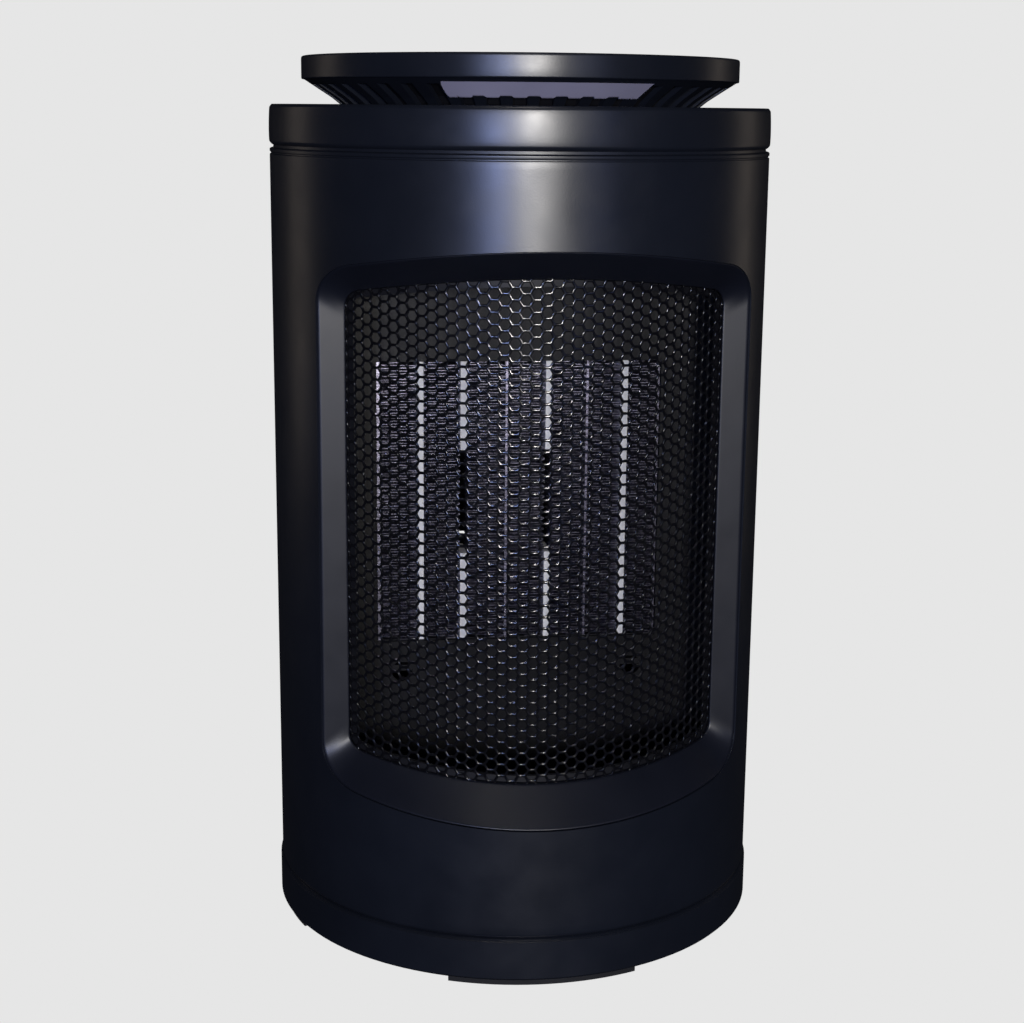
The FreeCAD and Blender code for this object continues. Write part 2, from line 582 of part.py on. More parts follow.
def make_element():
    for number, x in ((1, "bar_one"), (4, "bar_four")):
        keep(element_bar(f"ceramic_{number}", x, "bar_width"), f"ceramic_bar_{number}")
    short = "(element_size - bar_split) / 2"
    for number, x in ((2, "bar_two"), (3, "bar_three")):
        low = element_bar(f"ceramic_low_{number}", x, "bar_width", ELEMENT_LOW, short)
        high = element_bar(f"ceramic_high_{number}", x, "bar_width",
                           f"{ELEMENT_HIGH} - {short}", short)
        keep(group(f"ceramic_{number}", low, high), f"ceramic_bar_{number}")
    strips = [element_bar(f"strip_{x}", x, "strip_width") for x in ("strip_one", "strip_two")]
    keep(group("strips", *strips), "electrode_strips")
    rails = [element_bar(f"element_rail_{side}", f"{side} * (element_size - side_rail) / 2",
                         "side_rail") for side in (-1, 1)]
    keep(group("element_rails", *rails), "element_side_rails")
    make_fins()
    for word, low in (("bottom", f"{ELEMENT_LOW} - cap_height"), ("top", ELEMENT_HIGH)):
        deep = f"({ELEMENT_BACK} - {PLATE_BACK} + 0.5)"
        keep(slab(f"cap_{word}", (0, f"{PLATE_BACK} + {deep} / 2"),
                  ("element_size + 4", deep, "cap_height"), low), f"element_cap_{word}")
    blades = [box(f"terminal_{x}", (x, f"{ELEMENT_BACK} + 0.5 + terminal_length / 2",
                                    f"{ELEMENT_HIGH} + cap_height / 2"),
                  ("blade_thick", "terminal_length", "blade_tall"))
              for x in ("bar_one", "strip_one", "bar_four")]
    keep(group("blades", *blades), "element_terminals")


def make_fins():
    """Folded strips that zigzag between neighbouring bars, one solid for each column."""
    half = {"bar": value("bar_width") / 2, "strip": value("strip_width") / 2}
    edges = [(-value("element_size") / 2 + value("side_rail"), 0)]
    for name in ("bar_one", "bar_two", "strip_one", "bar_three", "strip_two", "bar_four"):
        edges.append((value(name), half[name.split("_")[0]]))
    edges.append((value("element_size") / 2 - value("side_rail"), 0))
    folds = int(value("element_size / fin_pitch")) * 2
    step = value("element_size") / folds
    strips = []
    for (left, left_half), (right, right_half) in zip(edges, edges[1:]):
        start, end = left + left_half + 0.05, right - right_half - 0.05
        shift = value("fin_sheet") / 2 * (end - start) / step
        xs = [start + shift, end - shift]
        shift = value("fin_sheet") / 2 * math.hypot(xs[1] - xs[0], step) / step
        xs = [start + shift, end - shift]
        line = [(xs[fold % 2], value(ELEMENT_LOW) + fold * step) for fold in range(folds + 1)]
        y = value("element_front")
        loop = [Vector(x - shift, y, z) for x, z in line]
        loop += [Vector(x + shift, y, z) for x, z in reversed(line)]
        face = Part.Face(Part.makePolygon(loop + loop[:1]))
        strips.append(face.extrude(Vector(0, value("element_depth"), 0)))
    keep(formed("fin_strip_set", Part.makeCompound(strips)), "fin_strips")


def make_thermal_guards():
    for word, side, radius, depth in (("cutout", -1, "cutout_radius", "cutout_depth"),
                                      ("fuse", 1, "cutout_radius / 2", "fuse_depth")):
        at = (f"{side} * cutout_x", PLATE_BACK, f"element_z + {SHROUD_HALF} + cutout_rise")
        keep(rod(f"thermal_{word}_can", radius, depth, at, FORWARD_IS_Z), f"thermal_{word}")


def make_shroud():
    middle = f"({PLATE_BACK} + shroud_face) / 2"
    deep = f"(shroud_face - {PLATE_BACK})"
    side, inside = f"2 * {SHROUD_HALF}", f"2 * ({SHROUD_HALF} - shroud_wall)"
    walls = cut("shroud_walls", box("shroud_box", (0, middle, "element_z"), (side, deep, side)),
                box("shroud_room", (0, middle, "element_z"), (inside, deep, inside)))
    hole = "(fan_radius + fan_tip_gap)"
    face = box("shroud_plate", (0, "shroud_face + shroud_wall / 2", "element_z"),
               (side, "shroud_wall", side))
    ring = rod("shroud_ring", f"{hole} + shroud_wall", "shroud_back - shroud_face",
               (0, "shroud_face", "element_z"), FORWARD_IS_Z)
    bore = rod("shroud_bore", hole, "shroud_back - shroud_face + 2",
               (0, "shroud_face - 1", "element_z"), FORWARD_IS_Z)
    keep(cut("shroud_cut", fuse("shroud_whole", walls, face, ring), bore), "fan_shroud")


def make_motor_bracket():
    ring = "(fan_radius + fan_tip_gap + shroud_wall)"
    here = (0, "shroud_back", "element_z")
    rim = tube("bracket_rim", ring, f"{ring} - 4", "bracket_thickness", here, FORWARD_IS_Z)
    hub = rod("bracket_centre", "bracket_hub", "bracket_thickness", here, FORWARD_IS_Z)
    arms = []
    for number in range(3):
        arm = doc.addObject("Part::Box", f"bracket_arm_{number}")
        arm.setExpression("Length", bound("arm_width"))
        arm.setExpression("Width", bound("bracket_thickness"))
        arm.setExpression("Height", bound(f"{ring} - 1"))
        turn = Rotation(Vector(0, 1, 0), 120 * number)
        lean = math.radians(120 * number)
        place(arm, (f"-arm_width / 2 * {math.cos(lean):.9f}", "shroud_back",
                    f"element_z + arm_width / 2 * {math.sin(lean):.9f}"), turn)
        arms.append(arm)
    hole = rod("bracket_hole", "boss_radius + running_gap", "bracket_thickness", here, FORWARD_IS_Z)
    keep(cut("bracket_cut", fuse("bracket_whole", rim, hub, *arms), hole), "motor_bracket")


def make_motor():
    inner = "(motor_radius - motor_wall)"
    bush_bore = "(shaft_radius + running_gap)"
    cap_back = f"({BRACKET_BACK} + cap_thickness)"
    z = "element_z"
    keep(turned("motor_cap", [
        ("bush_radius", "-bracket_thickness"), ("boss_radius", "-bracket_thickness"),
        ("boss_radius", 0), ("motor_radius", 0), ("motor_radius", "cap_thickness"),
        ("bush_radius", "cap_thickness")], (0, BRACKET_BACK, z), FORWARD_IS_Z), "motor_end_cap")
    keep(turned("motor_cup", [
        (inner, 0), ("motor_radius", 0), ("motor_radius", "motor_length - cap_thickness"),
        ("boss_radius", "motor_length - cap_thickness"),
        ("boss_radius", "motor_length - cap_thickness + motor_wall"),
        ("bush_radius", "motor_length - cap_thickness + motor_wall"),
        ("bush_radius", "motor_length - cap_thickness - motor_wall"),
        (inner, "motor_length - cap_thickness - motor_wall")], (0, cap_back, z), FORWARD_IS_Z),
         "motor_can")
    keep(tube("bush_one", "bush_radius", bush_bore, "bracket_thickness + cap_thickness",
              (0, "shroud_back", z), FORWARD_IS_Z), "motor_bush_front")
    keep(tube("bush_two", "bush_radius", bush_bore, "2 * motor_wall",
              (0, f"{MOTOR_BACK} - motor_wall", z), FORWARD_IS_Z), "motor_bush_rear")
    middle = f"({cap_back} + (motor_length - cap_thickness - motor_wall) / 2)"
    keep(tube("stator_ring", inner, "rotor_radius + rotor_gap", "stator_length",
              (0, f"{middle} - stator_length / 2", z), FORWARD_IS_Z), "motor_stator")
    keep(tube("rotor_core", "rotor_radius", "shaft_radius", "rotor_length",
              (0, f"{middle} - rotor_length / 2", z), FORWARD_IS_Z), "motor_rotor")
    keep(rod("shaft_rod", "shaft_radius", "shaft_length", (0, "shaft_front", z), FORWARD_IS_Z),
         "motor_shaft")


def fan_blade():
    """A twisted blade along +X: three thin sections that turn towards the tip."""
    reach, root = value("fan_radius"), value("hub_radius") - 1
    thickness, depth = value("blade_thickness"), value("hub_length")
    sections = []
    for share, lean, chord in ((0.0, 48, 15), (0.5, 34, 22), (1.0, 26, 27)):
        radius = root + (reach - root) * share
        slope = math.radians(lean)
        long = min(chord, (depth - 2) / math.sin(slope)) / 2
        points = []
        for along, off in ((-long, -1), (long, -1), (long, 1), (-long, 1)):
            across = off * thickness / 2
            points.append(Vector(radius, along * math.sin(slope) + across * math.cos(slope),
                                 along * math.cos(slope) - across * math.sin(slope)))
        sections.append(Part.makePolygon(points + points[:1]))
    blade = Part.makeLoft(sections, True, True)
    limit = Part.makeCylinder(reach, 2 * depth, Vector(0, -depth, 0), Vector(0, 1, 0))
    return blade.common(limit)


def make_fan():
    middle = value("fan_front + hub_length / 2")
    centre = Vector(0, middle, value("element_z"))
    front = Vector(0, value("fan_front"), value("element_z"))
    hub = Part.makeCylinder(value("hub_radius"), value("hub_length"), front, Vector(0, 1, 0))
    blades = []
    for number in range(int(value("blade_count"))):
        blade = fan_blade()
        blade.rotate(Vector(), Vector(0, 1, 0), 360 / value("blade_count") * number)
        blade.translate(centre)
        blades.append(blade)
    bore = Part.makeCylinder(value("shaft_radius"), value("hub_length"), front, Vector(0, 1, 0))
    keep(formed("impeller_form", hub.fuse(blades).cut(bore).removeSplitter()), "fan_impeller")
    here = (0, "fan_front - nut_height", "element_z")
    prism = doc.addObject("Part::Prism", "nut_prism")
    prism.Polygon = 6
    prism.setExpression("Circumradius", bound("bush_radius"))
    prism.setExpression("Height", bound("nut_height"))
    place(prism, here, FORWARD_IS_Z)
    keep(cut("nut_cut", prism, rod("nut_bore", "shaft_radius", "nut_height", here, FORWARD_IS_Z)),
         "fan_nut")


def make_rear_grille():
    radius, wall, gap = value("body_radius"), value("wall"), value("bezel_fit")
    half, rim = value("intake_half_width"), value("intake_flange")
    low = value("element_z - intake_height / 2")
    high = value("element_z + intake_height / 2")
    inner = radius - wall - gap - 1.5
    plug = sector_block(radius, 0, half - gap, low + gap, high - gap, 1)
    flange = sector_block(radius - wall - gap, 0, half + rim, low - rim, high + rim, 1)
    hollow = Part.makeCylinder(inner, high - low + 4 * rim, Vector(0, 0, low - 2 * rim))
    slot, pitch = value("intake_slot"), value("intake_pitch")
    rows = int((high - low - 2 * pitch) / pitch / 2)
    span = half - 6
    slots = []
    for row in range(-rows, rows + 1):
        z = value("element_z") + row * pitch - slot / 2
        for x in (-span - 1.5, 1.5):
            slots.append(Part.makeBox(span, radius, slot, Vector(x, wall * 8, z)))
    grille = plug.fuse(flange).cut(hollow).cut(Part.makeCompound(slots))
    keep(formed("rear_form", grille.removeSplitter()), "rear_grille")


def make_gland():
    flange_low = f"{GLAND_FACE} - gland_flange_height"
    back = "gland_length - gland_flange_height"
    keep(turned("gland_turned", [
        ("gland_bore", f"-({back})"), ("gland_barrel", f"-({back})"), ("gland_barrel", 0),
        ("gland_flange", 0), ("gland_flange", "gland_flange_height - 0.5"),
        ("gland_flange - 0.5", "gland_flange_height"), ("gland_bore", "gland_flange_height")],
        (0, flange_low, "gland_z"), FORWARD_IS_Z), "cord_gland")
    here = (0, f"{INNER_RADIUS} - 1 - gland_nut_height", "gland_z")
    prism = doc.addObject("Part::Prism", "gland_prism")
    prism.Polygon = 6
    prism.setExpression("Circumradius", bound("gland_barrel + 3"))
    prism.setExpression("Height", bound("gland_nut_height"))
    place(prism, here, FORWARD_IS_Z)
    bore = rod("gland_nut_bore", "gland_barrel", "gland_nut_height", here, FORWARD_IS_Z)
    keep(cut("gland_nut_cut", prism, bore), "gland_nut")


def make_collar():
    full = "(body_radius + collar_bulge)"
    lip = "(body_radius - wall + fit_gap)"
    inner = f"({SPIGOT_RADIUS} - wall)"
    deck_low = f"({DECK_TOP} - deck_thickness)"
    keep(turned("collar_turned", [
        (SPIGOT_RADIUS, f"{SHELL_TOP} - spigot_height"), (SPIGOT_RADIUS, SHELL_TOP),
        ("body_radius - collar_bulge", SHELL_TOP), ("body_radius + collar_bulge / 2",
                                                    f"{SHELL_TOP} + 1"),
        (full, f"{SHELL_TOP} + collar_height / 4"), (full, f"{SHELL_TOP} + collar_height / 2"),
        ("body_radius + collar_bulge / 2", f"{COLLAR_TOP} - 1.6"),
        ("body_radius - 0.2", COLLAR_TOP), (lip, COLLAR_TOP), (lip, DECK_TOP),
        ("cone_neck_radius + fit_gap", DECK_TOP), ("cone_neck_radius + fit_gap", deck_low),
        (inner, deck_low), (inner, f"{SHELL_TOP} - spigot_height")]), "top_collar")


def make_cone():
    """The flared ring under the disc, slotted all round."""
    deck_low = f"({DECK_TOP} - deck_thickness)"
    knee = f"({COLLAR_TOP} + cone_knee_rise)"
    flange = "(cone_neck_radius + cone_flange)"
    body = turned("cone_turned", [
        ("cone_neck_radius - cone_wall", deck_low), ("cone_neck_radius", deck_low),
        ("cone_neck_radius", DECK_TOP), (flange, DECK_TOP), (flange, f"{DECK_TOP} + 1.5"),
        ("cone_neck_radius", f"{DECK_TOP} + 1.5"), ("cone_neck_radius + 1", f"{DECK_TOP} + 3"),
        ("cone_mouth_radius", COLLAR_TOP), ("cone_knee_radius", knee),
        (CONE_RADIUS, CONE_TOP), (f"{CONE_RADIUS} - cone_wall - 1.2", CONE_TOP),
        ("cone_knee_radius - cone_wall - 0.6", f"{knee} + 0.6"),
        ("cone_mouth_radius - cone_wall", f"{COLLAR_TOP} + 0.4"),
        ("cone_neck_radius - cone_wall", f"{DECK_TOP} + 3.4")])
    low, high = f"{DECK_TOP} + 4", f"{CONE_TOP} - 1.4"
    inside, outside = "cone_neck_radius - 2 * cone_wall", f"{CONE_RADIUS} + cone_wall"
    slot = sketch_outline(body, "XZ_Plane", "slot_outline", [
        (inside, low), (outside, low), (outside, high), (inside, high)])
    doc.recompute()
    pocket = body.newObject("PartDesign::Pocket", "slot_pocket")
    pocket.Profile = slot
    pocket.Midplane = True
    pocket.setExpression("Length", bound("slot_width"))
    pattern = body.newObject("PartDesign::PolarPattern", "slot_ring")
    pattern.Originals = [pocket]
    pattern.Axis = (slot, ["V_Axis"])
    pattern.Angle = 360
    pattern.setExpression("Occurrences", bound("slot_count"))
    body.Tip = pattern
    keep(body, "intake_cone")


def make_intake_filter():
    """A dark conical screen that lies behind the slots, inside the cone."""
    thick = "filter_thickness"
    knee = f"({COLLAR_TOP} + cone_knee_rise + 0.6)"
    top_in = f"({CONE_RADIUS} - cone_wall - 1.2 - fit_gap)"
    knee_in = "(cone_knee_radius - cone_wall - 0.6 - fit_gap)"
    mouth_in = "(cone_mouth_radius - cone_wall - fit_gap)"
    low = f"({DECK_TOP} + 3.4)"
    top = f"({CONE_TOP} - 0.1)"
    outline = [(top_in, top), (knee_in, knee), (mouth_in, f"{COLLAR_TOP} + 0.4"),
               ("filter_foot", low)]
    back = [(f"{radius} - {thick}", height) for radius, height in reversed(outline)]
    keep(turned("filter_turned", outline + back), "intake_filter")


def make_label():
    """A blank plate bent round the front of the cone."""
    knee_z, knee_r = value(f"{COLLAR_TOP} + cone_knee_rise"), value("cone_knee_radius")
    slope = (value(CONE_RADIUS) - knee_r) / (value(CONE_TOP) - knee_z)
    low, high = value(f"{COLLAR_TOP} + label_low"), value(f"{COLLAR_TOP} + label_high")
    out = value("label_thickness") * math.hypot(1, slope)
    radii = [knee_r + (z - knee_z) * slope + 0.02 for z in (low, high)]
    corners = [Vector(radii[0], 0, low), Vector(radii[1], 0, high),
               Vector(radii[1] + out, 0, high), Vector(radii[0] + out, 0, low)]
    face = Part.Face(Part.makePolygon(corners + corners[:1]))
    face.rotate(Vector(), Vector(0, 0, 1), -90 - value("label_angle") / 2)
    plate = face.revolve(Vector(), Vector(0, 0, 1), value("label_angle"))
    keep(formed("label_plate", plate), "cone_label")


def button_places():
    return [("mode", "-button_spacing"), ("power", "0"), ("timer", "button_spacing")]


def make_disc():
    bevel = "(disc_radius - disc_bevel)"
    body = turned("disc_blank", [
        (0, DISC_TOP), (bevel, DISC_TOP), ("disc_radius", f"{DISC_TOP} - disc_bevel"),
        ("disc_radius", CONE_TOP), ("disc_radius - wall", CONE_TOP),
        ("disc_radius - wall", DISC_UNDER), (0, DISC_UNDER)])
    posts, holes = [], []
    for number, (x, y) in enumerate(control_board_posts()):
        posts.append(rod(f"disc_post_{number}", "board_post_radius", "control_board_drop + 1",
                         (x, y, CONTROL_TOP)))
        holes.append(rod(f"disc_post_hole_{number}", "screw_radius - 0.3", 5,
                         (x, y, CONTROL_TOP)))
    holes.append(rod("panel_seat", "panel_radius + button_gap", 5,
                     (0, 0, f"{DISC_TOP} - panel_thickness")))
    holes += control_holes("disc")
    keep(cut("disc_cut", fuse("disc_whole", body, *posts), *holes), "top_disc")


def control_holes(word):
    """Holes for the buttons and the lenses, through the disc or the panel."""
    holes = []
    for name, x in button_places():
        holes.append(rod(f"{word}_{name}_hole", "button_radius + button_gap", 10,
                         (x, "button_y", f"{DISC_TOP} - 5")))
        holes.append(rod(f"{word}_{name}_lens_hole", "lens_radius", 10,
                         (x, "lens_y", f"{DISC_TOP} - 5")))
    return holes


def control_board_posts():
    inset = "(board_post_radius + 0.5)"
    return [(f"{sx} * (control_board_length / 2 - {inset})",
             f"{sy} * (control_board_width / 2 - {inset})") for sx in (-1, 1) for sy in (-1, 1)]


def make_controls():
    panel = rod("panel_sheet", "panel_radius", "panel_thickness",
                (0, 0, f"{DISC_TOP} - panel_thickness"))
    keep(cut("panel_cut", panel, *control_holes("panel")), "control_panel")
    lenses, switches = [], []
    for name, x in button_places():
        cap = rod(f"{name}_cap", "button_radius", f"{DISC_TOP} - {BUTTON_FLANGE_LOW}",
                  (x, "button_y", BUTTON_FLANGE_LOW))
        flange = rod(f"{name}_flange", "button_radius + button_flange", "flange_height",
                     (x, "button_y", BUTTON_FLANGE_LOW))
        stem_low = f"({CONTROL_TOP} + tact_height + button_travel + 0.2)"
        stem = rod(f"{name}_stem", "stem_radius", f"{BUTTON_FLANGE_LOW} - {stem_low}",
                   (x, "button_y", stem_low))
        keep(fuse(f"{name}_fused", cap, flange, stem), f"{name}_button")
        keep(coil_sleeve(f"{name}_coil", "(switch_size * sqrt(0.5) + spring_wire)",
                         f"{BUTTON_FLANGE_LOW} - {CONTROL_TOP} - coil_slack",
                         (x, "button_y", f"{CONTROL_TOP} + coil_slack / 2")), f"{name}_spring")
        lenses.append(rod(f"{name}_lens", "lens_radius", f"{DISC_TOP} - {DISC_UNDER}",
                          (x, "lens_y", DISC_UNDER)))
        switches.append(slab(f"{name}_tact", (x, "button_y"),
                             ("switch_size", "switch_size", "tact_height"), CONTROL_TOP))
    keep(group("lens_set", *lenses), "indicator_lenses")
    keep(group("tact_set", *switches), "tact_switches")
    make_control_board()


def make_control_board():
    board = slab("control_sheet", (0, 0), ("control_board_length", "control_board_width",
                                           "board_thickness"), CONTROL_LOW)
    holes, screws = [], []
    for number, (x, y) in enumerate(control_board_posts()):
        holes.append(rod(f"control_hole_{number}", "screw_radius", 5, (x, y, f"{CONTROL_LOW} - 1")))
        head = rod(f"control_head_{number}", "head_radius", "head_height",
                   (x, y, f"{CONTROL_LOW} - head_height"))
        shank = rod(f"control_shank_{number}", "screw_radius - 0.3", "board_thickness + 4.5",
                    (x, y, CONTROL_LOW))
        screws.append(fuse(f"control_screw_{number}", head, shank))
    keep(cut("control_cut", board, *holes), "control_board")
    keep(group("control_screw_set", *screws), "board_screws")


def check_and_write():
    """Stop on any failed object or bad shape, then write one file for each sub-part."""
    doc.recompute()
    for item in doc.Objects:
        if "Invalid" in item.State or "Error" in item.State:
            raise RuntimeError(f"{item.Name} did not build")
    for item in kept:
        if item.Shape.isNull() or not item.Shape.isValid() or not item.Shape.Solids:
            raise RuntimeError(f"{item.Label} has no valid solid")
    os.makedirs("parts", exist_ok=True)
    for item in kept:
        item.Shape.exportStep(f"parts/{item.Label}.step")
        print(item.Label, len(item.Shape.Solids), round(item.Shape.Volume, 1))


fill_sheet()
make_base_cover()
make_feet_and_screws()
make_tip_switch()
make_power_board()
make_main_shell()
make_bezel()
make_mesh()
make_duct_plate()
make_element()
make_thermal_guards()
make_shroud()
make_motor_bracket()
make_motor()
make_fan()
make_rear_grille()
make_gland()
make_collar()
make_cone()
make_intake_filter()
make_label()
make_disc()
make_controls()
check_and_write()
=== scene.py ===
import json
import math
import bmesh
import bpy
import numpy as np
from bpy.props import FloatProperty, FloatVectorProperty, IntProperty, PointerProperty
from mathutils import Euler, Matrix, Vector


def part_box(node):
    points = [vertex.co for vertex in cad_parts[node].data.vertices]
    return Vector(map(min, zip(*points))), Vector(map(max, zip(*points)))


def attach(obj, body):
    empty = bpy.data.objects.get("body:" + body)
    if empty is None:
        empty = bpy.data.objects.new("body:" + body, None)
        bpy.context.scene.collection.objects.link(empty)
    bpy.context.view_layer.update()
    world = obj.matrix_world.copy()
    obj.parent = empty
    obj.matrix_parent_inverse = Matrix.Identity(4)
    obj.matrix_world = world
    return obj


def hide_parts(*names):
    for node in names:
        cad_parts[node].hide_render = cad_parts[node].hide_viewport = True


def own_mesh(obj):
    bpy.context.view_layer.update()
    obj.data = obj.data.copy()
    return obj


bl_info = {
    "name": "Ceramic Heater Maker",
    "version": (1, 0, 0),
    "blender": (4, 5, 0),
    "location": "View3D > Sidebar > Heater",
    "description": "Builds the casing, window, mesh, element and finishes of a ceramic heater",
    "category": "Add Mesh",
}

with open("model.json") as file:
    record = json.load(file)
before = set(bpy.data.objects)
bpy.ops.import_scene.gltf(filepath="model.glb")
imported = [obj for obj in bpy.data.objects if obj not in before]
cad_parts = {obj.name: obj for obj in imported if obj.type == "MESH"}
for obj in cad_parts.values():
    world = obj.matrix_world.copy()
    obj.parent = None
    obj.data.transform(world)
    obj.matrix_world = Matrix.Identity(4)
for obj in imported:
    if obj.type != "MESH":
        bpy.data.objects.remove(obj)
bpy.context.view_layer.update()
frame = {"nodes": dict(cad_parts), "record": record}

SHELL_LOW, SHELL_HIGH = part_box("main_shell")
COLLAR_LOW, COLLAR_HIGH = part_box("top_collar")
CONE_LOW, CONE_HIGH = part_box("intake_cone")
DISC_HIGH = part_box("top_disc")[1]
FINS_LOW, FINS_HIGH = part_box("fin_strips")
GRILLE_LOW, GRILLE_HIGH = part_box("rear_grille")
PANEL_LOW, PANEL_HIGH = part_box("control_panel")
LABEL_LOW, LABEL_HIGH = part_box("cone_label")
RADIUS = SHELL_HIGH[1]
ROUND_STEPS = 256


def length(name, description, default):
    """A size in metres."""
    return FloatProperty(name=name, description=description, default=default, unit="LENGTH",
                         min=0.0, precision=5)


def colour(name, description, default):
    """A linear colour."""
    return FloatVectorProperty(name=name, description=description, default=default,
                               subtype="COLOR", size=3, min=0.0, max=1.0)


class HeaterSizes(bpy.types.PropertyGroup):
    """Sizes of the surfaces that stand for the frame's plain parts."""
    wall: length("Wall", "Thickness of the casing", 0.0025)
    window_half: length("Window half width", "Half the width of the window opening", 0.067)
    window_low: length("Window foot", "Height of the opening's lowest point", 0.0509)
    window_high: length("Window top", "Height of the opening's highest point", 0.226)
    window_bow: length("Window bow", "Radius of the bowed top and foot", 0.302)
    window_corner: length("Window corner", "Corner radius of the opening", 0.012)
    bezel_side: length("Bezel side", "Width of the bevel at the sides", 0.0088)
    bezel_top: length("Bezel top", "Width of the bevel at the top", 0.0088)
    bezel_bottom: length("Bezel foot", "Width of the bevel at the foot", 0.0106)
    bezel_corner: length("Bezel corner", "Corner radius of the bevel's inner edge", 0.005)
    bezel_flange: length("Bezel flange", "Reach of the flange behind the casing", 0.003)
    bezel_lip: length("Bezel lip", "Depth of the inner lip behind the mesh's face", 0.002)
    mesh_radius: length("Mesh radius", "Radius of the rolled mesh", 0.082)
    mesh_axis: length("Mesh axis", "How far the mesh's axis lies behind the heater's", 0.015)
    mesh_thickness: length("Mesh sheet", "Thickness of the mesh", 0.0008)
    cell_pitch: length("Cell pitch", "Distance between rows of cells", 0.00363)
    cell_bar: length("Cell bar", "Width of the metal between two cells", 0.0008)
    fold_pitch: length("Fold pitch", "Height of one fold of the fins", 0.00184)
    foil: length("Foil", "Thickness of the folded foil", 0.00016)
    slot_count: IntProperty(name="Slots", description="Slots round the flared ring", default=48,
                            min=3, max=96)
    slot_width: length("Slot width", "Width of each slot of the flared ring", 0.0042)
    cone_neck: length("Cone neck", "Radius of the flared ring's neck", 0.0535)
    cone_mouth: length("Cone mouth", "Radius where the flare leaves the collar", 0.0575)
    cone_knee: length("Cone knee", "Radius where the flare turns straight", 0.060)
    cone_top: length("Cone top", "Radius under the disc", 0.0689)


class HeaterColours(bpy.types.PropertyGroup):
    """Base colours of the finishes."""
    casing: colour("Casing", "Satin moulded casing", (0.0058, 0.0072, 0.0115))
    bezel: colour("Bezel", "Window frame", (0.0052, 0.0062, 0.0105))
    mesh: colour("Mesh", "Painted mesh", (0.003, 0.003, 0.004))
    duct: colour("Duct", "Plate behind the mesh", (0.003, 0.0031, 0.0045))
    foil: colour("Foil", "Folded aluminium", (0.5, 0.48, 0.62))
    ceramic: colour("Ceramic", "Heating bars", (0.72, 0.71, 0.76))
    label: colour("Label", "Blank label", (0.27, 0.26, 0.35))
    rubber: colour("Rubber", "Feet", (0.01, 0.01, 0.011))
    steel: colour("Steel", "Plated steel", (0.5, 0.5, 0.52))
    board: colour("Board", "Circuit boards", (0.02, 0.12, 0.05))
    pale: colour("Pale plastic", "Terminal block, switches", (0.6, 0.58, 0.52))
    bronze: colour("Bronze", "Sintered bushes", (0.42, 0.26, 0.1))


def sizes():
    return bpy.context.scene.heater_sizes


def colours():
    return bpy.context.scene.heater_colours


# Surfaces

def grid_faces(rows, columns, close_rows=False, close_columns=False):
    """Quads of a grid whose point (i, j) is number i * columns + j, closed on request."""
    down = np.arange(rows if close_rows else rows - 1)
    along = np.arange(columns if close_columns else columns - 1)
    i, j = np.meshgrid(down, along, indexing="ij")
    i2, j2 = (i + 1) % rows, (j + 1) % columns
    quads = np.stack([i * columns + j, i * columns + j2, i2 * columns + j2, i2 * columns + j], -1)
    return quads.reshape(-1, 4)


def add_piece(name, points, faces, finish, slot, nodes=(), body="housing", sharp=38):
    """A mesh object from point and quad arrays: doubles merged, normals outwards, smooth
    apart from edges sharper than the given angle. It stands for the CAD nodes."""
    mesh = bpy.data.meshes.new(name)
    mesh.from_pydata(np.asarray(points).reshape(-1, 3).tolist(), [], np.asarray(faces).tolist())
    tidy = bmesh.new()
    tidy.from_mesh(mesh)
    bmesh.ops.remove_doubles(tidy, verts=tidy.verts, dist=2e-6)
    bmesh.ops.recalc_face_normals(tidy, faces=tidy.faces)
    tidy.to_mesh(mesh)
    tidy.free()
    return dress(bpy.data.objects.new(name, mesh), finish, nodes, body, sharp)


def dress(piece, finish, nodes, body, sharp):
    """Shade, paint and fasten a piece."""
    bpy.context.scene.collection.objects.link(piece)
    piece.data.shade_smooth()
    piece.data.set_sharp_from_angle(angle=math.radians(sharp))
    piece.data.materials.clear()
    piece.data.materials.append(made(finish))
    if nodes:
        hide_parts(*nodes)
    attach(piece, body)
    return piece


def merged_copy(name, node, finish, body="housing", sharp=30):
    """A copy of a CAD node's mesh with its loose triangles joined, so that it shades smooth."""
    mesh = frame["nodes"][node].data.copy()
    tidy = bmesh.new()
    tidy.from_mesh(mesh)
    bmesh.ops.remove_doubles(tidy, verts=tidy.verts, dist=1e-6)
    tidy.to_mesh(mesh)
    tidy.free()
    return dress(bpy.data.objects.new(name, mesh), finish, (node,), body, sharp)


def rounded(corners, reach, steps=4, spacing=0.004):
    """A closed outline whose corners become short parabolas that start reach before the corner
    and end reach after it, with the straight stretches between them divided evenly."""
    corners = np.asarray(corners, float)
    reach = np.broadcast_to(reach, len(corners))
    before, after = np.roll(corners, 1, 0), np.roll(corners, -1, 0)
    line = []
    for here, back, ahead, cut in zip(corners, before, after, reach):
        to_back, to_ahead = back - here, ahead - here
        start = here + to_back * min(cut / np.linalg.norm(to_back), 0.45)
        end = here + to_ahead * min(cut / np.linalg.norm(to_ahead), 0.45)
        if line:
            gap = start - line[-1]
            pieces = max(int(np.linalg.norm(gap) / spacing), 1)
            shares = np.linspace(0, 1, pieces + 1)[1:-1, None]
            line.extend(line[-1] + shares * gap)
        share = np.linspace(0, 1, steps + 1)[:, None]
        bend = (1 - share) ** 2 * start + 2 * share * (1 - share) * here + share ** 2 * end
        line.extend(bend if cut > 0 else [here])
    gap = line[0] - line[-1]
    pieces = max(int(np.linalg.norm(gap) / spacing), 1)
    line.extend(line[-1] + np.linspace(0, 1, pieces + 1)[1:-1, None] * gap)
    return np.array(line)


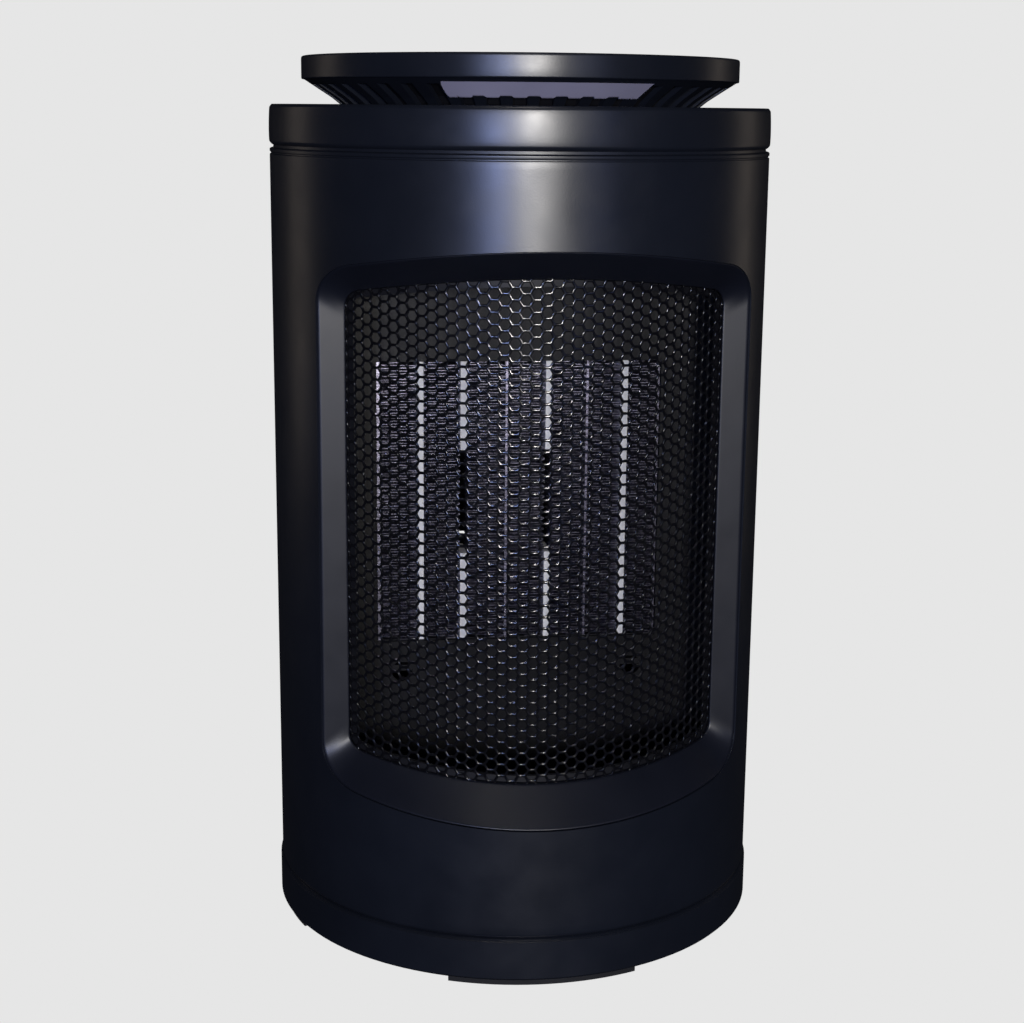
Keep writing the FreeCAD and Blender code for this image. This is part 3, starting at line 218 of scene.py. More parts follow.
def turn_profile(profile, steps=ROUND_STEPS):
    """A closed (radius, height) profile carried round the Z axis: x = r sin a, y = -r cos a."""
    angle = np.linspace(0, 2 * np.pi, steps, endpoint=False)
    radius, height = profile[:, :1], profile[:, 1:]
    points = np.stack([radius * np.sin(angle), -radius * np.cos(angle),
                       height + 0 * angle], -1)
    return points, grid_faces(len(profile), steps, True, True)


def walled(outer, inner, faces):
    """A sheet with thickness: the outer faces, the inner faces turned over, and a strip of wall
    along every edge that only one outer face uses."""
    count = len(outer)
    edges = np.concatenate([faces[:, [a, (a + 1) % 4]] for a in range(4)])
    ordered = np.sort(edges, 1)
    key = ordered[:, 0].astype(np.int64) * count + ordered[:, 1]
    first, uses = np.unique(key, return_index=True, return_counts=True)[1:]
    rim = edges[first[uses == 1]]
    strip = np.stack([rim[:, 1], rim[:, 0], rim[:, 0] + count, rim[:, 1] + count], 1)
    return np.concatenate([outer, inner]), np.concatenate([faces, faces[:, ::-1] + count, strip])


def resample(points, count):
    """The polyline at count + 1 places evenly spaced along its length."""
    steps = np.linalg.norm(np.diff(points, axis=0), axis=1)
    run = np.concatenate([[0], np.cumsum(steps)])
    places = np.linspace(0, run[-1], count + 1)
    return np.stack([np.interp(places, run, points[:, axis]) for axis in (0, 1)], 1)


def window_loop(half, low, high, bow, corner, across, upright):
    """The window's outline, clockwise from its upper left corner, in x and z. Top and foot are
    arcs of radius bow, joined to the straight sides by arcs of radius corner."""
    reach = half - corner
    lean = math.acos(reach / (bow - corner))
    corner_z = high - bow + (bow - corner) * math.sin(lean)
    middle = (low + high) / 2
    turn = np.linspace(0, 1, 33)[:, None]

    def arc(x, z, radius, start, end):
        angle = start + (end - start) * turn
        return np.hstack([x + radius * np.cos(angle), z + radius * np.sin(angle)])

    halfway = lean / 2
    top = np.vstack([arc(-reach, corner_z, corner, math.pi - halfway, math.pi - lean),
                     arc(0, high - bow, bow, math.pi - lean, lean),
                     arc(reach, corner_z, corner, lean, halfway)])
    right = arc(reach, corner_z, corner, halfway, 0)
    mirror = right[::-1] * (1, -1) + (0, 2 * middle)
    right = np.vstack([right, mirror])
    top, right = resample(top, across)[:-1], resample(right, upright)[:-1]
    return np.vstack([top, right, (0, 2 * middle) - top, (0, 2 * middle) * np.ones((len(right), 1))
                      + right * (-1, -1)])


def opening_loop(grow, across, upright):
    """The edge of the casing's opening, moved outwards by grow."""
    own = sizes()
    return window_loop(own.window_half + grow, own.window_low - grow, own.window_high + grow,
                       own.window_bow + grow, own.window_corner + grow, across, upright)


def mesh_loop(grow, across, upright):
    """The bevel's inner edge round the mesh, moved outwards by grow."""
    own = sizes()
    return window_loop(own.window_half - own.bezel_side + grow,
                       own.window_low + own.bezel_bottom - grow,
                       own.window_high - own.bezel_top + grow,
                       own.window_bow - own.bezel_top + grow, own.bezel_corner + grow,
                       across, upright)


def on_casing(loop, radius):
    """The outline laid on the front of an upright cylinder: y = -sqrt(r^2 - x^2)."""
    return np.stack([loop[:, 0], -np.sqrt(radius ** 2 - loop[:, 0] ** 2), loop[:, 1]], 1)


def on_mesh(loop, behind):
    """The outline laid on the mesh's cylinder, whose axis lies behind the heater's."""
    own = sizes()
    depth = own.mesh_axis - np.sqrt(own.mesh_radius ** 2 - loop[:, 0] ** 2) + behind
    return np.stack([loop[:, 0], depth, loop[:, 1]], 1)


# Finishes

def made(finish):
    """The material of a finish. Its prefix keeps it apart from the frame's own materials."""
    return bpy.data.materials["heater_" + finish]


def fresh_material(finish):
    """An empty node material with a Principled shader on its output."""
    material = bpy.data.materials.new("heater_" + finish)
    material.use_nodes = True
    tree = material.node_tree
    tree.nodes.clear()
    output = tree.nodes.new("ShaderNodeOutputMaterial")
    shader = tree.nodes.new("ShaderNodeBsdfPrincipled")
    tree.links.new(shader.outputs[0], output.inputs[0])
    return tree, shader


def noise(tree, scale, detail=3.0, stretch=(1, 1, 1)):
    """Noise over Object coordinates; stretch scales each axis."""
    place = tree.nodes.new("ShaderNodeTexCoord")
    mapping = tree.nodes.new("ShaderNodeMapping")
    mapping.inputs["Scale"].default_value = stretch
    cloud = tree.nodes.new("ShaderNodeTexNoise")
    cloud.inputs["Scale"].default_value = scale
    cloud.inputs["Detail"].default_value = detail
    tree.links.new(place.outputs["Object"], mapping.inputs["Vector"])
    tree.links.new(mapping.outputs["Vector"], cloud.inputs["Vector"])
    return cloud.outputs["Fac"]


def spread(tree, signal, low, high, start=0.3, end=0.7):
    """The signal's range start to end carried to low to high."""
    reach = tree.nodes.new("ShaderNodeMapRange")
    limits = {"From Min": start, "From Max": end, "To Min": low, "To Max": high}
    for socket, number in limits.items():
        reach.inputs[socket].default_value = number
    tree.links.new(signal, reach.inputs["Value"])
    return reach.outputs["Result"]


def blend_colours(tree, signal, low, high):
    """A mix of two linear colours by a signal."""
    mix = tree.nodes.new("ShaderNodeMix")
    mix.data_type = "RGBA"
    mix.inputs["A"].default_value = (*low, 1)
    mix.inputs["B"].default_value = (*high, 1)
    tree.links.new(signal, mix.inputs["Factor"])
    return mix.outputs["Result"]


def bump(tree, shader, signal, depth, strength=1.0):
    """The signal raised by depth metres."""
    raised = tree.nodes.new("ShaderNodeBump")
    raised.inputs["Distance"].default_value = depth
    raised.inputs["Strength"].default_value = strength
    tree.links.new(signal, raised.inputs["Height"])
    tree.links.new(raised.outputs["Normal"], shader.inputs["Normal"])


def scaled(base, factor):
    return tuple(min(part * factor, 1.0) for part in base)


def moulded(name, base, rough=(0.3, 0.36), grain=2300.0, depth=0.000012, specular=0.5):
    """Moulded plastic: spark-eroded grain in the bump, slow drifts in colour and gloss."""
    tree, shader = fresh_material(name)
    drift = noise(tree, 22.0, 4.0)
    fine = noise(tree, grain, 2.0)
    tree.links.new(blend_colours(tree, spread(tree, drift, 0, 1), scaled(base, 0.86),
                                 scaled(base, 1.16)), shader.inputs["Base Color"])
    tree.links.new(spread(tree, noise(tree, 90.0, 5.0), *rough), shader.inputs["Roughness"])
    shader.inputs["Specular IOR Level"].default_value = specular
    bump(tree, shader, fine, depth)


def metal(name, base, rough=(0.25, 0.4), stretch=(1, 1, 12), scale=240.0):
    """Bare metal with drawn streaks and faint tarnish."""
    tree, shader = fresh_material(name)
    streak = noise(tree, scale, 4.0, stretch)
    tarnish = noise(tree, 70.0, 3.0)
    tree.links.new(blend_colours(tree, spread(tree, tarnish, 0, 1), scaled(base, 0.78),
                                 scaled(base, 1.08)), shader.inputs["Base Color"])
    tree.links.new(spread(tree, streak, *rough), shader.inputs["Roughness"])
    shader.inputs["Metallic"].default_value = 1.0
    bump(tree, shader, streak, 0.00001, 0.5)


def fired(name, base):
    """Fired ceramic: matt, mottled, with small pits."""
    tree, shader = fresh_material(name)
    mottle = noise(tree, 380.0, 6.0)
    tree.links.new(blend_colours(tree, spread(tree, mottle, 0, 1), scaled(base, 0.72), base),
                   shader.inputs["Base Color"])
    tree.links.new(spread(tree, mottle, 0.5, 0.75), shader.inputs["Roughness"])
    bump(tree, shader, noise(tree, 1400.0, 4.0), 0.00004)


FINISHES = {
    "casing": "casing", "bezel": "bezel", "mesh": "mesh", "inner_black": "inner_black",
    "duct": "duct", "foot_rubber": "rubber", "screw_steel": "steel",
    "bracket_steel": "sheet_steel", "board": "board", "electric": "pale_plastic",
    "heater_ceramic": "ceramic", "fin_aluminium": "bare_aluminium", "element_cap": "inner_black",
    "core_steel": "laminations", "bush_bronze": "bronze", "fan_plastic": "fan_plastic",
    "label": "label", "panel": "panel", "button": "button", "lens": "lens",
}


class HEATER_OT_finishes(bpy.types.Operator):
    """Make every finish and give each frame part its own"""
    bl_idname = "heater.finishes"
    bl_label = "Make finishes"

    def execute(self, context):
        tint = colours()
        moulded("casing", tint.casing)
        moulded("bezel", tint.bezel, (0.36, 0.42), 2300.0, 0.000008, 0.35)
        moulded("mesh", tint.mesh, (0.14, 0.2), 1500.0, 0.000002)
        moulded("inner_black", tint.duct, (0.5, 0.62), specular=0.25)
        moulded("duct", tint.duct, (0.4, 0.5), 900.0, 0.000008, 0.2)
        moulded("rubber", tint.rubber, (0.75, 0.9), 1400.0, 0.00004, 0.3)
        moulded("board", tint.board, (0.3, 0.4), 1200.0, 0.00001)
        moulded("pale_plastic", tint.pale, (0.45, 0.55))
        moulded("fan_plastic", scaled(tint.duct, 1.5), (0.4, 0.5))
        moulded("panel", tint.rubber, (0.06, 0.1), 400.0, 0.000004)
        moulded("button", tint.bezel, (0.2, 0.28), 1600.0, 0.00001)
        moulded("lens", tint.ceramic, (0.08, 0.14), 500.0, 0.000004)
        moulded("label", tint.label, (0.42, 0.55), 1800.0, 0.00001)
        metal("steel", tint.steel)
        metal("sheet_steel", tint.steel, (0.35, 0.5), (1, 1, 1), 120.0)
        metal("laminations", scaled(tint.steel, 0.6), (0.4, 0.55), (1, 60, 1), 60.0)
        metal("bronze", tint.bronze, (0.35, 0.5), (1, 1, 1), 600.0)
        metal("bare_aluminium", tint.foil, (0.18, 0.3), (1, 1, 8), 300.0)
        fired("ceramic", tint.ceramic)
        slots = {part["node"]: part["material_slot"] for part in frame["record"]["subparts"]}
        for node, piece in frame["nodes"].items():
            for holder in piece.material_slots:
                holder.material = made(FINISHES[slots[node]])
        return {"FINISHED"}


# Casing

class HEATER_OT_shell(bpy.types.Operator):
    """The tube with its window and rear openings, its bead and its seam bevels"""
    bl_idname = "heater.shell"
    bl_label = "Make main shell"

    def execute(self, context):
        across, upright = 128, 96
        own = sizes()
        gap = 0.00008
        bead = 0.0034
        low, high = SHELL_LOW[2] + 0.0014, SHELL_HIGH[2] - bead
        front_points, front_faces = self.patch(
            opening_loop(gap, across, upright), 0.0, low, high, across, upright)
        half, foot, head = 0.042, GRILLE_LOW[2] + 0.003, GRILLE_HIGH[2] - 0.003
        back_loop = window_loop(half, foot, head, 4.0, 0.001, across, upright)
        back_points, back_faces = self.patch(back_loop, math.pi, low, high, across, upright)
        rim_low = self.band([(0, RADIUS - 0.0009), (0.0002, RADIUS - 0.0006),
                             (0.0009, RADIUS - 0.00008), (0.0014, RADIUS)], SHELL_LOW[2])
        rim_high = self.band([(-bead, RADIUS), (-0.0029, RADIUS - 0.00005),
                              (-0.00265, RADIUS - 0.0004), (-0.0024, RADIUS - 0.0004),
                              (-0.0021, RADIUS - 0.00005), (-0.0018, RADIUS),
                              (-0.0013, RADIUS), (-0.001, RADIUS - 0.0003),
                              (-0.0008, RADIUS - 0.0011), (0, RADIUS - 0.0012)], SHELL_HIGH[2])
        points, faces, start = [], [], 0
        for some_points, some_faces in ((front_points, front_faces), (back_points, back_faces),
                                        rim_low, rim_high):
            points.append(some_points)
            faces.append(some_faces + start)
            start += len(some_points)
        points, faces = self.joined(np.concatenate(points), np.concatenate(faces))
        radius = np.hypot(points[:, 0], points[:, 1])[:, None]
        inner = points.copy()
        inner[:, :2] *= (RADIUS - own.wall) / radius
        points, faces = walled(points, inner, faces)
        add_piece("main_shell_body", points, faces, "casing", "casing", ("main_shell",))
        return {"FINISHED"}

    def patch(self, loop, facing, low, high, across, upright):
        """Half of the tube round an opening: rows of points that pass from the opening's edge
        to a rectangle of angle and height, each row a share of the way."""
        edge_angle = np.arcsin(loop[:, 0] / RADIUS)
        side = np.linspace(-np.pi / 2, np.pi / 2, across + 1)[:-1]
        fall = np.linspace(high, low, upright + 1)[:-1]
        ends = np.full(upright, np.pi / 2)
        border_angle = np.concatenate([side, ends, -side, -ends])
        border_height = np.concatenate([np.full(across, high), fall, np.full(across, low),
                                        low + high - fall])
        share = np.linspace(0, 1, 21)[:, None] ** 1.5
        angle = edge_angle + (border_angle - edge_angle) * share + facing
        height = loop[:, 1] + (border_height - loop[:, 1]) * share
        points = np.stack([RADIUS * np.sin(angle), -RADIUS * np.cos(angle), height], -1)
        return points.reshape(-1, 3), grid_faces(21, len(loop), False, True)

    def band(self, rows, base):
        """A turned band from rows of (height above base, radius)."""
        rows = np.array(rows)
        angle = np.linspace(-np.pi / 2, 3 * np.pi / 2, ROUND_STEPS, endpoint=False)
        points = np.stack([rows[:, 1:] * np.sin(angle), -rows[:, 1:] * np.cos(angle),
                           rows[:, :1] + base + 0 * angle], -1)
        return points.reshape(-1, 3), grid_faces(len(rows), ROUND_STEPS, False, True)[:, ::-1]

    def joined(self, points, faces):
        """Points that coincide become one, so that only real edges stay open."""
        keys = np.round(points / 2e-6).astype(np.int64)
        first, number = np.unique(keys, axis=0, return_index=True, return_inverse=True)[1:]
        return points[first], number.reshape(-1)[faces]


class HEATER_OT_base(bpy.types.Operator):
    """The base cover and its feet"""
    bl_idname = "heater.base"
    bl_label = "Make base"

    def execute(self, context):
        merged_copy("base_cover_body", "base_cover", "casing")
        merged_copy("rubber_feet_pads", "rubber_feet", "rubber")
        return {"FINISHED"}


class HEATER_OT_collar(bpy.types.Operator):
    """The barrel-shaped ring above the tube, with its deck and spigot"""
    bl_idname = "heater.collar"
    bl_label = "Make collar"

    def execute(self, context):
        own = sizes()
        low, top = SHELL_HIGH[2], COLLAR_HIGH[2]
        spigot = RADIUS - own.wall - 0.0003
        lip = RADIUS - own.wall + 0.0003
        deck = top - 0.0059
        neck = own.cone_neck + 0.0003
        profile = rounded([
            (spigot, COLLAR_LOW[2]), (spigot, low), (RADIUS - 0.0009, low),
            (RADIUS + 0.0001, low + 0.0009), (RADIUS + 0.0002, low + 0.004),
            (RADIUS + 0.0001, top - 0.004), (RADIUS - 0.0001, top - 0.0009),
            (RADIUS - 0.0008, top), (lip, top), (lip, deck), (neck, deck),
            (neck, deck - own.wall), (spigot - own.wall, deck - own.wall),
            (spigot - own.wall, COLLAR_LOW[2])],
            [0.0004, 0, 0.0002, 0.0006, 0.002, 0.002, 0.0004, 0.0003, 0.0003, 0.0008, 0.0003,
             0.0003, 0.0005, 0.0004])
        points, faces = turn_profile(profile)
        add_piece("collar_ring", points, faces, "casing", "casing", ("top_collar",), sharp=50)
        return {"FINISHED"}


class HEATER_OT_cone(bpy.types.Operator):
    """The flared ring with its slots, and the blank label on its front"""
    bl_idname = "heater.cone"
    bl_label = "Make flared ring"

    def outline(self):
        """Radius and height up the flare's outer face."""
        own = sizes()
        mouth = COLLAR_HIGH[2]
        return np.array([(own.cone_neck, mouth - 0.0044), (own.cone_neck + 0.001, mouth - 0.0029),
                         (own.cone_mouth, mouth), (own.cone_knee, mouth + 0.002),
                         (own.cone_top, CONE_HIGH[2])])

    def execute(self, context):
        own = sizes()
        line = self.outline()
        heights = np.concatenate([np.linspace(line[0, 1], line[1, 1], 3)[:-1],
                                  np.linspace(line[1, 1], CONE_HIGH[2] - 0.0013, 26),
                                  [CONE_HIGH[2] - 0.0006, CONE_HIGH[2]]])
        radius = np.interp(heights, line[:, 1], line[:, 0])
        step = 2 * np.pi / own.slot_count
        half_slot = np.arcsin(own.slot_width / 2 / radius)[:, None]
        shares = np.array([0.0, 0.08, 0.3, 0.5, 0.7, 0.92])
        rib = half_slot + shares * (step - 2 * half_slot)
        last = step - half_slot
        cell = np.concatenate([rib, last], 1)
        starts = np.repeat(np.arange(own.slot_count) * step, cell.shape[1])
        angle = np.tile(cell, own.slot_count) + starts
        points = self.turned(radius[:, None] + 0 * angle, angle, heights[:, None] + 0 * angle)
        inner_radius = np.maximum(radius - 0.0022, own.cone_neck - 0.002)
        inner = self.turned(inner_radius[:, None] + 0 * angle, angle,
                            np.minimum(heights + 0.0006, CONE_HIGH[2])[:, None] + 0 * angle)
        columns = angle.shape[1]
        faces = grid_faces(len(heights), columns, False, True)
        row, column = faces[:, 0] // columns, faces[:, 0] % columns
        in_slot = column % cell.shape[1] == cell.shape[1] - 1
        open_row = (row >= 3) & (row < len(heights) - 4)
        points, faces = walled(points, inner, faces[~(in_slot & open_row)])
        add_piece("flared_ring", points, faces, "casing", "casing", ("intake_cone",), sharp=30)
        flange = rounded([(own.cone_neck - 0.002, CONE_LOW[2]), (own.cone_neck, CONE_LOW[2]),
                          (own.cone_neck, line[0, 1] - 0.0014), (own.cone_neck + 0.006,
                                                                line[0, 1] - 0.0014),
                          (own.cone_neck + 0.006, line[0, 1]), (own.cone_neck - 0.002,
                                                                line[0, 1])], 0.0002)
        add_piece("flared_ring_flange", *turn_profile(flange), "casing", "casing")
        self.label(line)
        return {"FINISHED"}

    def turned(self, radius, angle, height):
        return np.stack([radius * np.sin(angle), -radius * np.cos(angle), height],
                        -1).reshape(-1, 3)

    def label(self, line):
        """A thin plate on the flare between two heights and two angles, round at its left end,
        slanted at its right end and notched under its lower edge once in every slot pitch."""
        own = sizes()
        low, high = LABEL_LOW[2], LABEL_HIGH[2] - 0.0004
        span = math.radians(27.6)
        across, rows = 420, 13
        share = np.linspace(0, 1, rows)[:, None]
        base = np.linspace(-1, 1, across)[None, :]
        left = 0.012 * (1 - np.sqrt(1 - np.clip(2 * share - 1, -1, 1) ** 2 * 0.96))
        right = 0.016 * (1 - share)
        angle = (-span + left) + (2 * span - left - right) * (base + 1) / 2
        wave = np.cos(angle * own.slot_count)
        notch = np.clip(wave * 4, -1, 1) * 0.5 + 0.5
        foot = low + 0.0005 * (1 - notch) * (np.abs(angle) < span * 0.9)
        height = foot + (high - foot) * share
        radius = np.interp(height, line[:, 1], line[:, 0])
        outer = self.turned(radius + 0.0006, angle, height)
        inner = self.turned(radius + 0.00005, angle, height)
        points, faces = walled(outer, inner, grid_faces(rows, across))
        add_piece("blank_label", points, faces, "label", "label", ("cone_label",))


class HEATER_OT_disc(bpy.types.Operator):
    """The floating top disc"""
    bl_idname = "heater.disc"
    bl_label = "Make top disc"

    def execute(self, context):
        own = sizes()
        rim, top, low = DISC_HIGH[1], DISC_HIGH[2], CONE_HIGH[2]
        seat = PANEL_HIGH[0] + 0.00025
        profile = rounded([
            (rim - 0.0003, top), (rim, top - 0.0006), (rim, low), (rim - own.wall, low),
            (rim - own.wall, top - own.wall), (seat - 0.0015, top - own.wall),
            (seat - 0.0015, PANEL_LOW[2]), (seat, PANEL_LOW[2]), (seat, top)],
            [0.0006, 0.0004, 0.0005, 0.0003, 0.0008, 0.0003, 0.0002, 0.0001, 0.00015],
            spacing=0.002)
        points, faces = turn_profile(profile)
        add_piece("floating_disc", points, faces, "casing", "casing", ("top_disc",), sharp=55)
        return {"FINISHED"}


class HEATER_OT_bezel(bpy.types.Operator):
    """The bevelled frame of the window, with its flange and inner lip"""
    bl_idname = "heater.bezel"
    bl_label = "Make bezel"

    def execute(self, context):
        own = sizes()
        across, upright = 160, 120
        skin = RADIUS - own.wall - 0.0002
        edge = opening_loop(0, across, upright)
        wide = opening_loop(own.bezel_flange, across, upright)
        mouth = mesh_loop(0, across, upright)
        corners = [on_casing(edge, RADIUS), on_casing(edge, skin), on_casing(wide, skin),
                   on_casing(wide, skin - 0.0015), on_mesh(mouth, own.bezel_lip),
                   on_mesh(mouth, -0.0006)]
        reaches = [0.0013, 0.0002, 0.0003, 0.0003, 0.0004, 0.0006]
        rows = []
        for number, (here, reach) in enumerate(zip(corners, reaches)):
            back, ahead = corners[number - 1], corners[(number + 1) % len(corners)]
            start = self.towards(here, back, reach)
            end = self.towards(here, ahead, reach)
            for share in np.linspace(0, 1, 6):
                rows.append((1 - share) ** 2 * start + 2 * share * (1 - share) * here
                            + share ** 2 * end)
            following = self.towards(ahead, here, reaches[(number + 1) % len(corners)])
            for share in (0.04, 0.25, 0.5, 0.75, 0.96):
                rows.append(end + (following - end) * share)
        points = np.array(rows)
        faces = grid_faces(len(rows), len(edge), True, True)
        add_piece("window_bezel", points, faces, "bezel", "bezel", ("front_bezel",), sharp=60)
        return {"FINISHED"}

    def towards(self, here, other, reach):
        """Points that lie reach from here on the way to other."""
        way = other - here
        size = np.linalg.norm(way, axis=1, keepdims=True)
        return here + way * np.minimum(reach / size, 0.45)


class HEATER_OT_honeycomb(bpy.types.Operator):
    """The rolled sheet of hexagonal cells"""
    bl_idname = "heater.honeycomb"
    bl_label = "Make honeycomb mesh"

    def execute(self, context):
        own = sizes()
        column_pitch = own.cell_pitch * math.sqrt(3) / 2
        middle = (own.window_low + own.window_high) / 2
        across, up = np.meshgrid(np.arange(-26, 27), np.arange(-54, 55), indexing="ij")
        real = (across + up) % 2 == 0
        arc = across * column_pitch
        height = middle + up * own.cell_pitch / 2
        x = own.mesh_radius * np.sin(arc / own.mesh_radius)
        half = own.window_half - own.bezel_side + 0.0012
        bow = own.window_bow - own.bezel_top + 0.0012
        lift = np.sqrt(np.maximum(bow ** 2 - x ** 2, 0))
        top = own.window_high - own.window_bow + lift
        foot = own.window_low + own.bezel_bottom + own.window_bow - own.bezel_top - lift
        present = real & (np.abs(x) < half) & (height < top) & (height > foot)
        arc, height = arc[present], height[present]
        outer = own.cell_pitch / math.sqrt(3)
        hole = (own.cell_pitch - own.cell_bar) / math.sqrt(3)
        edge, deep = hole + 0.0002, own.mesh_thickness
        rings = np.array([(outer, 0), (edge, 0), (hole, 0.0002), (hole, deep - 0.0002),
                          (edge, deep), (outer, deep)])
        corner = np.radians(60 * np.arange(6))
        u = arc[:, None, None] + rings[:, :1] * np.cos(corner)
        z = height[:, None, None] + rings[:, :1] * np.sin(corner)
        radius = own.mesh_radius - rings[:, 1:]
        angle = u / own.mesh_radius
        points = np.stack([radius * np.sin(angle), own.mesh_axis - radius * np.cos(angle), z], -1)
        cells = np.arange(len(arc))[:, None] * 36
        faces = [(cells[:, :, None] + grid_faces(6, 6, False, True)).reshape(-1, 4)]
        faces.append(self.border(present, cells))
        add_piece("honeycomb_mesh", points, np.concatenate(faces), "mesh", "mesh",
                  ("front_mesh",), sharp=50)
        return {"FINISHED"}

    def border(self, present, cells):
        """Walls from front to back on each cell side that has no neighbour."""
        padded = np.pad(present, 2)
        column, row = np.nonzero(padded)
        steps = ((1, 1), (0, 2), (-1, 1), (-1, -1), (0, -2), (1, -1))
        walls = []
        for side, (over, up) in enumerate(steps):
            alone = cells[~padded[column + over, row + up], 0]
            ahead = (side + 1) % 6
            walls.append(np.stack([alone + ahead, alone + side, alone + 30 + side,
                                   alone + 30 + ahead], 1))
        return np.concatenate(walls)


class HEATER_OT_element(bpy.types.Operator):
    """The folded fins between the element's bars"""
    bl_idname = "heater.element"
    bl_label = "Make fins"

    def execute(self, context):
        own = sizes()
        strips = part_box("electrode_strips")
        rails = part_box("element_side_rails")
        bars = [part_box(f"ceramic_bar_{number}") for number in (1, 2, 3, 4)]
        strip = 0.0008
        edges = [(rails[0][0], rails[0][0] + 0.001), (bars[0][0][0], bars[0][1][0]),
                 (bars[1][0][0], bars[1][1][0]), (strips[0][0], strips[0][0] + strip),
                 (bars[2][0][0], bars[2][1][0]), (strips[1][0] - strip, strips[1][0]),
                 (bars[3][0][0], bars[3][1][0]), (rails[1][0] - 0.001, rails[1][0])]
        low, high = FINS_LOW[2], FINS_HIGH[2]
        folds = int((high - low) / own.fold_pitch)
        points, faces, start = [], [], 0
        for (_, left), (right, _) in zip(edges, edges[1:]):
            some_points, some_faces = self.ribbon(left + 0.0001, right - 0.0001, low, high, folds)
            points.append(some_points)
            faces.append(some_faces + start)
            start += len(some_points)
        add_piece("folded_fins", np.concatenate(points), np.concatenate(faces),
                  "bare_aluminium", "fin_aluminium", ("fin_strips",), sharp=40)
        return {"FINISHED"}

    def ribbon(self, left, right, low, high, folds):
        """Foil that snakes upwards: across it follows a flattened sine between its two bars,
        and its height grows with the phase. Two such lines, a foil apart, carried in depth."""
        own = sizes()
        phase = np.linspace(0, 2 * np.pi * folds, folds * 14 + 1)
        sway = np.tanh(3.2 * np.sin(phase)) / np.tanh(3.2)
        half = (right - left) / 2 - own.foil
        x = (left + right) / 2 + half * sway
        z = low + own.foil + (high - low - 2 * own.foil) * phase / phase[-1]
        line = np.stack([x, z], 1)
        way = np.gradient(line, axis=0)
        side = np.stack([-way[:, 1], way[:, 0]], 1) / np.linalg.norm(way, axis=1, keepdims=True)
        sheets = [line + side * own.foil / 2, line - side * own.foil / 2]
        front, back = FINS_LOW[1], FINS_HIGH[1]
        loop = [(sheets[0], front), (sheets[0], back), (sheets[1], back), (sheets[1], front)]
        points = np.stack([np.stack([s[:, 0], 0 * s[:, 0] + y, s[:, 1]], 1) for s, y in loop], 1)
        count = len(line)
        faces = grid_faces(count, 4, False, True)
        ends = np.array([[3, 2, 1, 0], [count * 4 - 4, count * 4 - 3, count * 4 - 2,
                                        count * 4 - 1]])
        return points.reshape(-1, 3), np.concatenate([faces, ends])


class HEATER_OT_rear(bpy.types.Operator):
    """The rear intake grille and the cord gland"""
    bl_idname = "heater.rear"
    bl_label = "Make rear grille"

    def execute(self, context):
        merged_copy("rear_intake", "rear_grille", "casing")
        merged_copy("cord_gland_body", "cord_gland", "inner_black")
        return {"FINISHED"}


class HEATER_OT_buttons(bpy.types.Operator):
    """The three dished buttons in the top panel"""
    bl_idname = "heater.buttons"
    bl_label = "Make buttons"

    def execute(self, context):
        around = 96
        for word in ("mode", "power", "timer"):
            low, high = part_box(f"{word}_button")
            middle = [(a + b) / 2 for a, b in zip(low, high)]
            radius = (high[0] - low[0]) / 2 - 0.001
            top, flange = high[2], high[2] - 0.004
            dish = np.linspace(0, radius - 0.0006, 14)
            rows = [(r, top - 0.0003 * (1 - (r / radius) ** 2)) for r in dish]
            rows += [(radius - 0.0002, top - 0.0001), (radius, top - 0.0004),
                     (radius, flange + 0.0012), (radius + 0.001, flange + 0.0012),
                     (radius + 0.001, flange), (0.002, flange), (0.002, low[2]), (0, low[2])]
            angle = np.linspace(0, 2 * np.pi, around, endpoint=False)
            rows = np.array(rows)
            points = np.stack([middle[0] + rows[:, :1] * np.sin(angle),
                               middle[1] - rows[:, :1] * np.cos(angle),
                               rows[:, 1:] + 0 * angle], -1)
            add_piece(f"{word}_button_cap", points, grid_faces(len(rows), around, False, True),
                      "button", "button", (f"{word}_button",), f"{word}_key", sharp=40)
        return {"FINISHED"}


class HEATER_OT_springs(bpy.types.Operator):
    """The coil springs round the button stems and over the tip-over plunger"""
    bl_idname = "heater.springs"
    bl_label = "Make springs"

    def execute(self, context):
        for node, turns in (("mode_spring", 3), ("power_spring", 3), ("timer_spring", 3),
                            ("tip_spring", 5)):
            piece = add_piece(f"{node}_coil", *self.coil(node, turns), "steel", "screw_steel",
                              (node,), sharp=50)
            if node != "tip_spring":
                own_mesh(piece)
        return {"FINISHED"}

    def coil(self, node, turns):
        """Round wire along a helix: its centre is x = R cos t, y = R sin t, with z growing
        as the phase t does, flat for the first and the last half turn."""
        low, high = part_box(node)
        wire, turn_steps, sides = 0.0007, 40, 10
        middle = [(a + b) / 2 for a, b in zip(low, high)]
        ring = (high[0] - low[0] - wire) / 2
        phase = np.linspace(0, 2 * np.pi * turns, turns * turn_steps + 1)
        climb = np.clip((phase - np.pi) / (phase[-1] - 2 * np.pi), 0, 1)
        height = low[2] + wire / 2 + (high[2] - low[2] - wire) * climb
        round_wire = np.linspace(0, 2 * np.pi, sides, endpoint=False)
        out = ring + wire / 2 * np.cos(round_wire)
        points = np.stack([middle[0] + out * np.cos(phase)[:, None],
                           middle[1] + out * np.sin(phase)[:, None],
                           height[:, None] + wire / 2 * np.sin(round_wire)], -1)
        caps = [[0, 1, 2, 3], [0, 3, 4, 9], [4, 5, 8, 9], [5, 6, 7, 8]]
        last = (len(phase) - 1) * sides
        ends = np.concatenate([np.array(caps), np.array(caps)[:, ::-1] + last])
        return points.reshape(-1, 3), np.concatenate([
            grid_faces(len(phase), sides, False, True), ends])


# Stage

